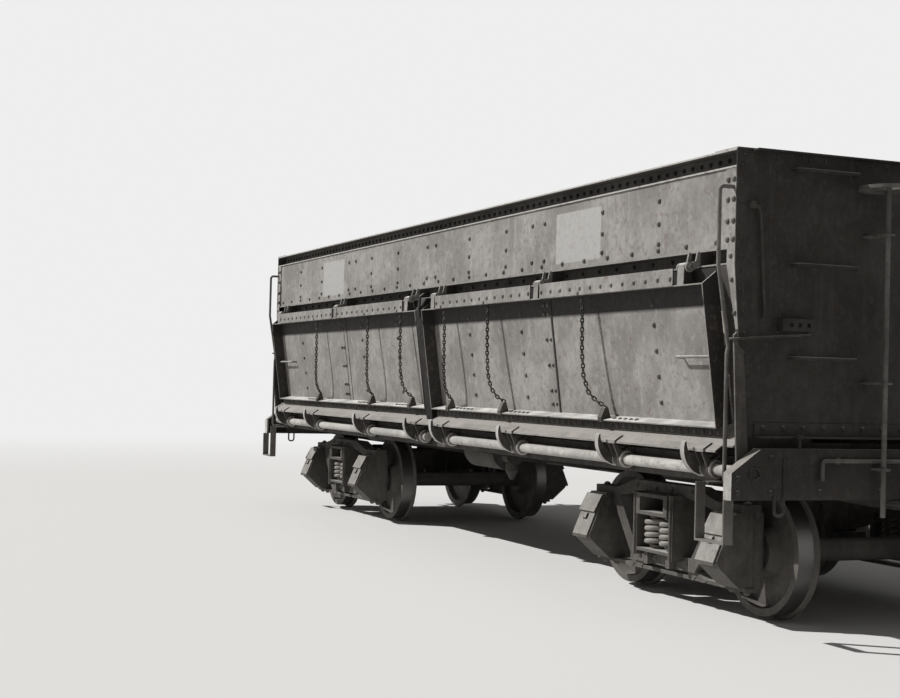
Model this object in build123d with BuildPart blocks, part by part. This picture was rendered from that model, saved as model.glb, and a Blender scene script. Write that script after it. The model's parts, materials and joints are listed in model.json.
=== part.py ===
from build123d import *
import os
from math import atan2, degrees, radians, sin, tan

# Open four-axle hopper wagon that tips its load out at both sides: a ridged floor slopes
# down to two top-hung doors on each side, and turning shafts with hooks hold the doors.
# Millimetres. +X runs along the track, +Z is up, and the origin is on the ground under
# the middle of the wagon, at the lowest point of the wheel flanges. Heights named here
# are over the rail, and up() turns them into the wagon's own heights.

os.makedirs("parts", exist_ok=True)

# Wheels and axles
tread_r = 419.0
flange_r = 444.0
flange_width = 34.0
wheel_back = 681.0          # from the middle of the track to a wheel's inner face
rim_width = 146.0
rim_depth = 62.0
hub_r = 128.0
hub_length = 180.0
wheel_plate = 24.0
axle_r = 76.0
plate_offset = 66.0         # from a wheel's inner face out to its plate
plate_flare = 40.0          # how far the plate thickens towards the hub
rim_step = 10.0             # the rim's edges stand this far inside its middle
tread_fall = 5.0
flange_ease = 6.0
journal_r = 63.5
journal_y = 978.0           # middle of a journal box, from the middle of the track
journal_length = 250.0
pin_play = 0.05             # radial play of every journal and pin
wheelbase = 1676.0          # between the two axles of one truck
truck_centres = 6800.0

# Truck frames
frame_thick = 132.0
frame_top = 795.0
frame_seat = 672.0          # where the side frame sits on the journal boxes
frame_bottom = 226.0
member = 80.0               # width of the side frame's bars
column_out = 1130.0         # outer face of the columns beside the springs
column_wide = 46.0
column_round = 14.0
column_gap = 213.0          # half the window between the columns
window_top = 725.0
spring_seat = 337.0
tie_thick = 24.0
tie_proud = 25.0            # how far the tie bar stays inside the side frame's faces
foot_x = 435.0              # lower corner of the side frame
foot_bevel = 30.0
foot_rise = 36.0
foot_reach = 90.0           # the foot under the journal box, outwards and inwards
foot_back = 150.0
foot_hole_r = 36.0
foot_inset = 20.0
hump_half = 385.0
hump_run = 275.0
shoulder_rise = 50.0
seat_clear = 14.0
seat_drop = 60.0
column_rise = 60.0
plank_thick = 20.0
plank_lug = 50.0
plank_lug_x = 120.0
box_half = 120.0
box_in = 885.0
box_bottom = 197.0
lid_top_y = 1118.0
lid_top_z = 640.0
lid_low_y = 1230.0
lid_low_z = 372.0
lid_thick = 15.0
lid_inset = 12.0
box_flange = 12.0
box_flange_in = 20.0
box_flange_out = 75.0
latch_half = 22.0
journal_end_gap = 10.0
bolster_end = 1144.0
bolster_half = 204.0
bolster_low = 572.0
bolster_high = 718.0
bolster_drop = 480.0        # underside of the bolster in the middle
bolster_flat = 420.0
bolster_shoulder = 60.0
bolster_wall = 24.0
bolster_open = 48.0
centre_bowl = 22.0
side_bearing_in = 590.0
side_bearing_out = 700.0
side_bearing_half = 60.0
side_bearing_rise = 24.0
spring_r = 99.0             # outside of a coil
spring_wire = 18.0
spring_turns = 4.5
coil_play = 0.5
spring_out = 42.0           # from the journals' middle out to the springs' middle
beam_half = 26.0
beam_low = 330.0
beam_high = 400.0
shoe_gap = 12.0
shoe_thick = 46.0
shoe_wide = 80.0
shoe_high = 330.0
shoe_reach = 170.0
shoe_drop = 39.0
strut_half = 30.0
strut_thick = 24.0
hanger_y = 588.0
hanger_half = 16.0
pull_rod_r = 18.0
pull_rod_half = 330.0

# Body
body_length = 9654.0        # over the end sheets
body_top = 2885.0
top_chord_depth = 111.0
side_sheet_depth = 476.0
hinge_rail_depth = 103.0
side_y = 1440.0             # outer face of the upper side sheet
flange_proud = 12.0         # how far the long channels' edges stand out past that face
channel_reach = 105.0       # from a channel's outer edge to its web
channel_wall = 10.0
sheet = 8.0
ridge_z = 2050.0            # top of the sloping floor, over the middle of the track
lip_y = 1480.0              # outer edge of the sloping floor
lip_z = 1081.0
floor_sheet = 9.0           # measured straight down through the floor
lip_leg = 12.0
lip_end_gap = 127.0         # the floor's lip is cut back here for the handrails
lip_cut_y = 1430.0
end_bottom = 1165.0
keeper_drop = 1078.0        # from the top down to the bar for a lever's keeper
keeper_high = 75.0
keeper_stand = 48.0
keeper_in = 894.0
keeper_out = 1145.0
gusset_x = 245.0
gusset_y = 200.0

# Underframe and ends
centre_sill_y = 165.0
centre_sill_flange = 90.0
centre_sill_bottom = 730.0
centre_sill_top = 1035.0
cover_plate = 10.0
sill_bottom = 880.0
side_sill_y = 1325.0
side_sill_flange = 80.0
end_gap = 33.0              # from the end sheets to the end sills
end_sill_deep = 84.0
end_sill_y = 1523.0
end_sill_bottom = 801.0
end_sill_shoulder = 961.0
end_sill_top = 1105.0
end_sill_slope = 205.0
end_sill_wall = 16.0
poling_y = 1363.0
poling_z = 954.0
poling_r = 42.0
poling_proud = 9.0
strap_bar_r = 9.0           # bent bar down the face of an end sill
strap_bar_y = 1160.0
strap_bar_wide = 65.0
strap_bar_foot = 710.0
strap_bar_in = 60.0
lift_pin_y = 1038.0
lift_pin_inset = 18.0       # from an end sill's face back to the pins with round heads
lift_pin_r = 11.0
lift_pin_rise = 58.0
lift_head_r = 23.0
lift_head = 24.0
carrier_half = 115.0        # opening for the coupler in an end sill
carrier_frame = 30.0
coupler_z = 876.0
coupler_out = 321.0         # from an end sill's face to the coupler's pulling face
coupler_shank = 128.0
coupler_half = 130.0        # half the height of a coupler's head
knuckle_half = 115.0
draft_gear_in = 320.0
draft_gear_long = 420.0
draft_gear_high = 230.0
bearer_half = 150.0         # half the length of a body bolster along the track
bearer_knee = 800.0
centre_plate_r = 152.0
centre_plate_z = 720.0
plate_gap = 0.3             # running gap between the two centre plates

# Doors
post_gap = 10.0
door_end_gap = 187.0        # from the end sheet back to a door's far edge
door_under_rail = 10.0
door_flange_drop = 112.0    # from the hinge rail down to the door's upper flange
door_top_y = 1459.0
door_edge_y = 1560.0
door_heel_y = 1330.0
door_heel_rise = 164.0      # heel, ledge and lower edge, over the floor's lip
door_ledge_y = 1440.0
door_ledge_rise = 134.0
door_bottom_rise = 76.0
door_leg_y = 1385.0         # outer face of the leg under the ledge
door_leg_gap = 3.0
end_plate_drop = 24.0       # from the door's top down to its end plates' upper corners
hinge_inset_near = 242.0
hinge_inset_far = 260.0
hinge_y = 1520.0
hinge_pin_r = 14.0
hinge_eye_r = 30.0
hinge_arm_width = 76.0
hinge_ear = 14.0
hinge_ear_gap = 5.0
hinge_post = 26.0           # width of the hanger bars on the hinge rail
leg_notch = 80.0            # from a hinge to the door's upright leg
grip_inset = 467.0
grip_z = 1646.0
grip_r = 9.0
grip_out = 62.0
seam_wide = 90.0
seam_thick = 5.0
grip_bend = 20.0
grip_end_gap = 3.0
leg_backing = 40.0          # how far the flange's backing strip stops from its notches
leg_backing_drop = 6.0

# Posts
post_half = 68.0
strip_low_y = 1419.0
strip_drop = 387.0          # from the hinge rail down to the corner strip's foot
strip_width = 112.0
strip_top_width = 84.0      # the leaning strip narrows to its foot
strip_foot_width = 24.0
corner_in = 16.0            # how far the closing plate stands inside the door plate

# Locks
lock_y = 1385.0
lock_drop = 119.0           # from the floor's lip down to the shafts' axis
shaft_r = 38.0
shaft_start = 110.0
hook_near = 238.0           # hooks, measured in from the door's two ends
hook_second = 1635.0
hook_third = 1303.0
hook_far = 205.0
hook_width = 46.0
hub_width = 72.0
hub_out_r = 52.0
hook_reach = 146.0
hook_rise = 166.0
bearing_offset = 92.0
bearing_width = 84.0
bearing_cheek = 14.0
bearing_r = 57.0
cap_in_y = 1428.0           # inner edge of the bearing's cap on the floor's lip
cap_thick = 12.0
cap_past = 16.0             # how far the cap reaches past the cheeks
lever_gap = 11.0            # from the end sheet to a lever
lever_thick = 14.0
lever_width = 84.0
lever_lean = 35.0
lever_long = 828.0

# Chains
chain_tops = (450.0, 1343.0, 1604.0)      # first two from the near edge, last from the far one
chain_lugs = (381.0, 1454.0, 1442.0)
lug_half = 27.0
chain_top_y = 1520.0
chain_low_y = 1412.0
lug_rise = 92.0
lug_pin_r = 17.0
lug_lean = 28.0             # from the ledge's edge back to the lug's pin
link_bar = 12.0
link_wide = 45.0
link_seat = 0.4
links_in_chain = 14
chain_clear = 2.8

# Bars, steps and fittings
bar_r = 12.5
bar_bend = 30.0
handrail_gap = 37.0         # from the end sheet's outer face back to the handrail
handrail_y = 1545.0
handrail_top_drop = 229.0
handrail_knee_drop = 695.0
handrail_waist_drop = 1185.0
handrail_waist_y = 1462.0
handrail_low_y = 1472.0
handrail_foot = 895.0
grab_drops = (104.0, 677.0, 1239.0)
grab_y_out = 1050.0
grab_y_in = 600.0
grab_stand = 60.0
step_y = 1517.0
step_width = 66.0
step_bar = 12.0
step_z = 545.0
step_inset = 40.0           # from an end sill's face back to the step's outer leg
step_long = 300.0

# Brake pipe along the right side of the centre sill
pipe_r = 21.0
pipe_rise = 40.0            # from the sill's lower edge up to the pipe's middle

sides = (("right", -1), ("left", 1))
ends = (("front", 1), ("rear", -1))
rail = flange_r - tread_r   # top of the rail above the lowest point of the flanges
axle_z = flange_r
half_length = body_length / 2
inside = half_length - sheet
flange_y = side_y + flange_proud
web_y = flange_y - channel_reach
hinge_rail_top = body_top - top_chord_depth - side_sheet_depth
hinge_rail_low = hinge_rail_top - hinge_rail_depth
sill_top = centre_sill_top + cover_plate
sill_outer = centre_sill_y + centre_sill_flange
edge_y = side_sill_y - side_sill_flange
end_sill_x = half_length + end_gap
end_face = end_sill_x + end_sill_deep
pipe_y = sill_outer + pipe_r
pipe_z = centre_sill_bottom + pipe_rise
coupler_face = end_face + coupler_out
door_near = post_half + post_gap
door_far = half_length - door_end_gap
door_top = hinge_rail_low - door_under_rail
door_flange_z = hinge_rail_low - door_flange_drop
door_leg_top = hinge_rail_low - door_leg_gap
hinge_z = hinge_rail_low
door_heel_z = lip_z + door_heel_rise
door_ledge_z = lip_z + door_ledge_rise
door_bottom = lip_z + door_bottom_rise
lock_z = lip_z - lock_drop
lever_x = half_length + lever_gap
plate_slope = (door_top_y - door_heel_y) / (door_top - door_heel_z)
ledge_slope = (door_heel_z - door_ledge_z) / (door_ledge_y - door_heel_y)
hinge_places = (
    door_near + hinge_inset_near,
    (door_near + hinge_inset_near + door_far - hinge_inset_far) / 2,
    door_far - hinge_inset_far,
)
hook_places = (door_near + hook_near, door_near + hook_second, door_far - hook_third, door_far - hook_far)


def up(height):
    """A height over the rail, as a height in the wagon's frame."""
    return rail + height


def floor_at(y):
    """Height of the sloping floor's upper face at a distance from the middle."""
    return up(ridge_z) - abs(y) * (ridge_z - lip_z) / lip_y


def door_y(height):
    """Distance of the door plate's middle from the wagon's middle at a height."""
    return door_heel_y + (height - door_heel_z) * plate_slope


def block(x0, x1, y0, y1, z0, z1, mode=Mode.ADD):
    """A square-edged block between two corners."""
    with Locations(((x0 + x1) / 2, (y0 + y1) / 2, (z0 + z1) / 2)):
        Box(abs(x1 - x0), abs(y1 - y0), abs(z1 - z0), mode=mode)


def slab(plane, points, thick, mode=Mode.ADD):
    """A flat piece with a straight-edged outline, drawn on a plane."""
    with BuildSketch(plane, mode=Mode.PRIVATE) as outline:
        with BuildLine():
            Polyline(*points, close=True)
        make_face()
    extrude(to_extrude=outline.sketch, amount=thick, mode=mode)


def folded(plane, points, gauge, length):
    """A piece of sheet of one gauge, folded along the given line."""
    with BuildSketch(plane, mode=Mode.PRIVATE) as outline:
        with BuildLine(mode=Mode.PRIVATE) as middle:
            Polyline(*points)
        trace(middle.line, line_width=gauge)
    extrude(to_extrude=outline.sketch, amount=length)


def round_bar(points, radius, bend):
    """A round bar bent along a route."""
    with BuildLine(mode=Mode.PRIVATE) as route:
        FilletPolyline(*points, radius=bend)
    with BuildSketch(Plane(origin=route.line @ 0, z_dir=route.line % 0), mode=Mode.PRIVATE) as section:
        Circle(radius)
    sweep(sections=section.sketch, path=route.line)


def rod(start, direction, radius, length, mode=Mode.ADD):
    """A straight round piece from a point, along a direction."""
    with BuildSketch(Plane(origin=start, z_dir=direction), mode=Mode.PRIVATE) as section:
        Circle(radius)
    extrude(to_extrude=section.sketch, amount=length, mode=mode)


def keep(piece, name):
    """Labels a finished piece and writes its file."""
    piece.part.label = name
    export_step(piece.part, "parts/" + name + ".step")


def keep_corners(master, name):
    """Writes a piece made for the right front quarter, and its three mirror images."""
    for side_name, side in sides:
        for end_name, end in ends:
            shape = master.part
            if end < 0:
                shape = shape.mirror(Plane.YZ)
            if side > 0:
                shape = shape.mirror(Plane.XZ)
            with BuildPart() as piece:
                add(shape)
            keep(piece, name + "_" + side_name + "_" + end_name)


# Wheelsets: one axle with its two wheels, turned in one profile
wheel_front = wheel_back + rim_width
wheel_middle = wheel_back + plate_offset
hub_in = wheel_back + (rim_width - hub_length) / 2
hub_out = hub_in + hub_length
journal_in = journal_y - journal_length / 2
journal_out = journal_y + journal_length / 2
for end_name, end in ends:
    for place_name, place in (("outer", 1), ("inner", -1)):
        axle_x = end * (truck_centres / 2 + place * wheelbase / 2)
        with BuildPart() as wheelset:
            with BuildSketch(Plane.YZ.offset(axle_x)):
                with BuildLine():
                    Polyline(
                        (0, axle_z),
                        (0, axle_z + axle_r),
                        (hub_in, axle_z + axle_r),
                        (hub_in, axle_z + hub_r),
                        (wheel_middle - wheel_plate, axle_z + hub_r + plate_flare),
                        (wheel_middle - wheel_plate / 2, axle_z + tread_r - rim_depth),
                        (wheel_back, axle_z + tread_r - rim_depth + rim_step),
                        (wheel_back, axle_z + flange_r - flange_ease),
                        (wheel_back + rim_step, axle_z + flange_r),
                        (wheel_back + flange_width - rim_step, axle_z + flange_r - flange_ease),
                        (wheel_back + flange_width, axle_z + tread_r),
                        (wheel_front, axle_z + tread_r - tread_fall),
                        (wheel_front, axle_z + tread_r - rim_depth + rim_step),
                        (wheel_middle + wheel_plate / 2, axle_z + tread_r - rim_depth),
                        (wheel_middle + wheel_plate, axle_z + hub_r + plate_flare),
                        (hub_out, axle_z + hub_r),
                        (hub_out, axle_z + axle_r),
                        (journal_in, axle_z + journal_r),
                        (journal_out, axle_z + journal_r),
                        (journal_out, axle_z),
                        close=True,
                    )
                make_face()
                mirror(about=Plane.YZ)
            revolve(axis=Axis((axle_x, 0, axle_z), (0, 1, 0)))
        keep(wheelset, "wheelset_" + end_name + "_" + place_name)

# Truck side frame: a cast bar arched over the bolster, two leaning bars down to the
# spring seat, columns beside the springs, and a tie bar under the journal boxes
frame_in = journal_y - frame_thick / 2
frame_out = journal_y + frame_thick / 2
seat_end = wheelbase / 2 + box_half + box_flange
seat_start = wheelbase / 2 - box_half - seat_clear
column_x = column_gap + column_wide
shoulder = frame_seat + shoulder_rise
plank_low = spring_seat - plank_thick
foot_low = box_bottom - tie_thick
with BuildPart() as side_frame:
    with BuildSketch(Plane.XZ.offset(frame_in)):
        with BuildLine():
            Polyline(
                (-seat_end, up(frame_seat)),
                (-seat_end, up(shoulder)),
                (-hump_half - hump_run, up(shoulder)),
                (-hump_half, up(frame_top)),
                (hump_half, up(frame_top)),
                (hump_half + hump_run, up(shoulder)),
                (seat_end, up(shoulder)),
                (seat_end, up(frame_seat)),
                (seat_start, up(frame_seat)),
                (seat_start - 8, up(frame_seat - seat_drop)),
                (foot_x, up(frame_bottom + foot_rise)),
                (foot_x - foot_bevel, up(frame_bottom)),
                (-foot_x + foot_bevel, up(frame_bottom)),
                (-foot_x, up(frame_bottom + foot_rise)),
                (-seat_start + 8, up(frame_seat - seat_drop)),
                (-seat_start, up(frame_seat)),
                close=True,
            )
        make_face()
        with Locations((0, up((window_top + spring_seat) / 2))):
            Rectangle(2 * column_gap, window_top - spring_seat, mode=Mode.SUBTRACT)
        for end in (1, -1):
            with BuildLine():
                Polyline(
                    (end * column_x, up(window_top - 4)),
                    (end * (seat_start - member - 8), up(frame_seat - 8)),
                    (end * (foot_x - member + 4), up(plank_low - 2)),
                    (end * column_x, up(plank_low - 2)),
                    close=True,
                )
            make_face(mode=Mode.SUBTRACT)
    extrude(amount=frame_thick)
    for end in (1, -1):
        block(
            end * column_gap, end * column_x, -frame_out, -column_out,
            up(frame_bottom + column_rise), up(window_top),
        )
        rod(
            (end * (column_gap + column_wide / 2), -column_out, up(frame_bottom + column_rise)), (0, 0, 1),
            column_round, window_top - frame_bottom - column_rise,
        )
        slab(
            Plane.XZ.offset(frame_in + foot_inset),
            (
                (end * (foot_x - foot_bevel), up(frame_bottom + 10)),
                (end * (foot_x + foot_reach), up(box_bottom - 10)),
                (end * (foot_x + foot_reach - foot_bevel), up(foot_low)),
                (end * (foot_x - foot_back + foot_bevel), up(foot_low)),
                (end * (foot_x - foot_back), up(frame_bottom + 10)),
            ),
            frame_thick - 2 * foot_inset,
        )
        rod(
            (end * (foot_x - foot_bevel), -frame_in, up(foot_low - 8)), (0, -1, 0),
            foot_hole_r, frame_thick, Mode.SUBTRACT,
        )
        # lower edge of the seat: two lugs that hold the spring plank
        block(
            end * plank_lug_x, end * (plank_lug_x + plank_lug), -frame_out, -frame_out - plank_lug,
            up(frame_bottom), up(plank_low),
        )
    block(-column_gap, column_gap, -frame_out, -column_out, up(plank_low), up(spring_seat))
    block(
        -seat_end, seat_end, -frame_in - tie_proud, -frame_out + tie_proud,
        up(foot_low), up(box_bottom),
    )

# Journal box with its bore, and the slanted lid under a hood
lid_run = Vector(0, -(lid_low_y - lid_top_y), lid_low_z - lid_top_z)
lid_normal = Vector(0, -(lid_top_z - lid_low_z), -(lid_low_y - lid_top_y)).normalized() * -1
lid_normal = Vector(0, -abs(lid_normal.Y), abs(lid_normal.Z))


def on_lid(share, proud):
    """Point (y, z) on the lid's face, part of the way down, standing out from it."""
    y = -lid_top_y + lid_run.Y * share + lid_normal.Y * proud
    z = up(lid_top_z) + lid_run.Z * share + lid_normal.Z * proud
    return (y, z)


with BuildPart() as journal_box:
    slab(
        Plane.YZ.offset(-box_half),
        (
            (-box_in, up(box_bottom)),
            (-box_in, up(frame_seat)),
            (-lid_top_y + 24, up(frame_seat)),
            (-lid_top_y, up(lid_top_z)),
            (-lid_low_y, up(lid_low_z)),
            (-lid_low_y + 22, up(lid_low_z - 46)),
            (-lid_low_y + 170, up(box_bottom)),
        ),
        2 * box_half,
    )
    slab(
        Plane.YZ.offset(-box_half + lid_inset),
        (
            on_lid(0.3, -2),
            on_lid(0.3, lid_thick),
            on_lid(1.05, lid_thick),
            on_lid(1.12, lid_thick * 0.4),
            on_lid(1.0, -2),
        ),
        2 * (box_half - lid_inset),
    )
    slab(
        Plane.YZ.offset(-box_half + 4),
        (on_lid(-0.08, -4), on_lid(-0.04, lid_thick * 1.3), on_lid(0.44, lid_thick * 2.2), on_lid(0.44, -2)),
        2 * box_half - 8,
    )
    slab(
        Plane.YZ.offset(-latch_half),
        (on_lid(0.44, 4), on_lid(0.5, lid_thick * 2), on_lid(0.62, lid_thick * 2), on_lid(0.68, 4)),
        2 * latch_half,
    )
    for end in (1, -1):
        block(
            end * box_half, end * (box_half + box_flange), -box_in - box_flange_in, -box_in - box_flange_out,
            up(box_bottom), up(frame_seat),
        )
    bore_length = journal_out + journal_end_gap - box_in
    rod((0, -box_in, axle_z), (0, -1, 0), journal_r + pin_play, bore_length, Mode.SUBTRACT)

# One coil spring
spring_height = bolster_low - spring_seat
coil_rise = spring_height - 2 * (spring_wire + coil_play)
with BuildPart() as spring:
    with BuildLine() as coil:
        Helix(pitch=coil_rise / spring_turns, height=coil_rise, radius=spring_r - spring_wire)
    with BuildSketch(Plane(origin=coil.line @ 0, z_dir=coil.line % 0)):
        Circle(spring_wire)
    sweep(is_frenet=True)

for end_name, end in ends:
    centre = end * truck_centres / 2
    with BuildPart() as frames:
        with Locations((centre, 0, 0)):
            add(side_frame.part)
            add(side_frame.part.mirror(Plane.XZ))
    keep(frames, "truck_" + end_name + "_side_frames")

    with BuildPart() as boxes:
        for place in (wheelbase / 2, -wheelbase / 2):
            with Locations((centre + place, 0, 0)):
                add(journal_box.part)
                add(journal_box.part.mirror(Plane.XZ))
    keep(boxes, "truck_" + end_name + "_journal_boxes")

    with BuildPart() as bolster:
        with BuildSketch(Plane.YZ.offset(centre - bolster_half)):
            with BuildLine():
                Polyline(
                    (0, up(bolster_drop)),
                    (bolster_flat, up(bolster_drop)),
                    (frame_in - bolster_shoulder, up(bolster_low)),
                    (bolster_end, up(bolster_low)),
                    (bolster_end, up(bolster_high)),
                    (frame_in - bolster_shoulder, up(bolster_high)),
                    (bolster_flat, up(centre_plate_z - centre_bowl)),
                    (0, up(centre_plate_z - centre_bowl)),
                    close=True,
                )
            make_face()
            mirror(about=Plane.YZ)
        extrude(amount=2 * bolster_half)
        block(
            centre - bolster_half + bolster_open, centre + bolster_half - bolster_open,
            -bolster_end, bolster_end,
            up(bolster_low + bolster_wall), up(bolster_high - bolster_wall), Mode.SUBTRACT,
        )
        rod((centre, 0, up(centre_plate_z - centre_bowl)), (0, 0, 1), centre_plate_r + centre_bowl, centre_bowl)
        for side in (1, -1):
            block(
                centre - side_bearing_half, centre + side_bearing_half,
                side * side_bearing_in, side * side_bearing_out,
                up(bolster_high - bolster_wall), up(bolster_high + side_bearing_rise),
            )
    keep(bolster, "truck_" + end_name + "_bolster")

    with BuildPart() as spring_group:
        for side in (1, -1):
            for across in (-spring_r - coil_play, spring_r + coil_play):
                spring_place = (centre + across, side * (journal_y + spring_out), up(spring_seat) + spring_wire + coil_play)
                with Locations(spring_place):
                    add(spring.part)
    keep(spring_group, "truck_" + end_name + "_springs")

    # Brake beams between the wheels, with their shoes, and the rods that join them
    with BuildPart() as brake_gear:
        for side in (1, -1):
            axle_x = centre + side * wheelbase / 2
            beam_x = axle_x - side * (tread_r + shoe_gap + shoe_thick + beam_half)
            block(beam_x - beam_half, beam_x + beam_half, -frame_in, frame_in, up(beam_low), up(beam_high))
            for wheel_side in (1, -1):
                shoe_y = wheel_side * (wheel_back + wheel_front) / 2
                with BuildSketch(Plane.XZ.offset(-shoe_y - shoe_wide / 2)):
                    with Locations((axle_x, axle_z)):
                        Circle(tread_r + shoe_gap + shoe_thick)
                        Circle(tread_r + shoe_gap, mode=Mode.SUBTRACT)
                    with Locations((beam_x + side * beam_half, up(tread_r - shoe_drop))):
                        Rectangle(shoe_reach, shoe_high, mode=Mode.INTERSECT)
                extrude(amount=shoe_wide)
            slab(
                Plane.XZ.offset(-2 * strut_thick),
                (
                    (beam_x - strut_half, up(beam_low)),
                    (beam_x + strut_half, up(beam_low)),
                    (beam_x + 18 - side * 40, up(centre_sill_bottom - 60)),
                    (beam_x - 18 - side * 40, up(centre_sill_bottom - 60)),
                ),
                -strut_thick,
            )
            # hangers from the bolster's face
            hanger_x = beam_x - centre
            for across in (-hanger_y, hanger_y):
                slab(
                    Plane.XZ.offset(across - strut_thick / 2),
                    (
                        (centre + side * bolster_half, up(bolster_low - 30)),
                        (centre + side * bolster_half, up(bolster_low + 20)),
                        (centre + hanger_x + side * hanger_half, up(bolster_low + 20)),
                        (centre + hanger_x + side * hanger_half, up(beam_high - 10)),
                        (centre + hanger_x - side * hanger_half, up(beam_high - 10)),
                        (centre + hanger_x - side * hanger_half, up(bolster_low - 30)),
                    ),
                    strut_thick,
                )
        rod((centre - pull_rod_half, 0, up(beam_low + 30)), (1, 0, 0), pull_rod_r, 2 * pull_rod_half)
    keep(brake_gear, "truck_" + end_name + "_brake_gear")

# Centre sill: two channels with a cover plate
with BuildPart() as centre_sill:
    for side in (1, -1):
        slab(
            Plane.YZ.offset(-end_sill_x),
            (
                (side * sill_outer, up(centre_sill_bottom)),
                (side * centre_sill_y, up(centre_sill_bottom)),
                (side * centre_sill_y, up(centre_sill_top)),
                (side * sill_outer, up(centre_sill_top)),
                (side * sill_outer, up(centre_sill_top - 14)),
                (side * (centre_sill_y + 12), up(centre_sill_top - 14)),
                (side * (centre_sill_y + 12), up(centre_sill_bottom + 14)),
                (side * sill_outer, up(centre_sill_bottom + 14)),
            ),
            2 * end_sill_x,
        )
    block(-end_sill_x, end_sill_x, -sill_outer, sill_outer, up(centre_sill_top), up(sill_top))
keep(centre_sill, "centre_sill")

# Body bolsters: tapered boxes across the wagon, with the centre plates under them
with BuildPart() as body_bolsters:
    for end in (1, -1):
        centre = end * truck_centres / 2
        for side in (1, -1):
            slab(
                Plane.YZ.offset(centre - bearer_half),
                (
                    (side * (centre_sill_y + 12), up(centre_sill_bottom + 30)),
                    (side * sill_outer, up(centre_sill_bottom + 30)),
                    (side * bearer_knee, up(sill_bottom)),
                    (side * edge_y, up(sill_bottom)),
                    (side * edge_y, up(sill_top)),
                    (side * sill_outer, up(sill_top)),
                    (side * sill_outer, up(centre_sill_top - 14)),
                    (side * (centre_sill_y + 12), up(centre_sill_top - 14)),
                ),
                2 * bearer_half,
            )
        block(
            centre - centre_plate_r - 18, centre + centre_plate_r + 18, -centre_sill_y, centre_sill_y,
            up(centre_sill_bottom), up(centre_sill_top),
        )
        rod(
            (centre, 0, up(centre_plate_z) + plate_gap), (0, 0, 1),
            centre_plate_r, centre_sill_bottom - centre_plate_z - plate_gap,
        )
    rod((-half_length, -pipe_y, up(pipe_z)), (1, 0, 0), pipe_r + pin_play, body_length, Mode.SUBTRACT)
keep(body_bolsters, "body_bolsters")

# Cross frames: a cross-bearer between the sills, and an open triangle of plate over it
# that carries the sloping floor. The body bolsters take the place of the bearer.
cross_plate = 12.0
end_frame = half_length - 87
cross_places = (-end_frame, -1900.0, -1000.0, 0.0, 1000.0, 1900.0, end_frame)
with BuildPart() as cross_frames:
    for place in (*cross_places, -truck_centres / 2, truck_centres / 2):
        for side in (1, -1):
            with BuildSketch(Plane.YZ.offset(place - cross_plate / 2)):
                with BuildLine():
                    Polyline(
                        (side * 2, up(sill_top)),
                        (side * 2, floor_at(2) - floor_sheet),
                        (side * side_sill_y, floor_at(side_sill_y) - floor_sheet),
                        (side * side_sill_y, up(sill_top)),
                        close=True,
                    )
                make_face()
                with BuildLine():
                    Polyline(
                        (side * 120, up(sill_top) + 90),
                        (side * 120, floor_at(120) - 170),
                        (side * 820, floor_at(820) - 170),
                        (side * 820, up(sill_top) + 90),
                        close=True,
                    )
                make_face(mode=Mode.SUBTRACT)
                if place in cross_places:
                    with BuildLine():
                        Polyline(
                            (side * sill_outer, up(sill_top)),
                            (side * sill_outer, up(centre_sill_bottom)),
                            (side * edge_y, up(sill_bottom)),
                            (side * edge_y, up(sill_top)),
                            close=True,
                        )
                    make_face()
            extrude(amount=cross_plate)
    rod((-half_length, -pipe_y, up(pipe_z)), (1, 0, 0), pipe_r + pin_play, body_length, Mode.SUBTRACT)
keep(cross_frames, "cross_frames")

with BuildPart() as side_sills:
    for side in (1, -1):
        slab(
            Plane.YZ.offset(-end_sill_x),
            (
                (side * edge_y, up(sill_bottom)),
                (side * side_sill_y, up(sill_bottom)),
                (side * side_sill_y, up(sill_top)),
                (side * edge_y, up(sill_top)),
                (side * edge_y, up(sill_top) - 12),
                (side * (side_sill_y - 10), up(sill_top) - 12),
                (side * (side_sill_y - 10), up(sill_bottom) + 12),
                (side * edge_y, up(sill_bottom) + 12),
            ),
            2 * end_sill_x,
        )
keep(side_sills, "side_sills")

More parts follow.
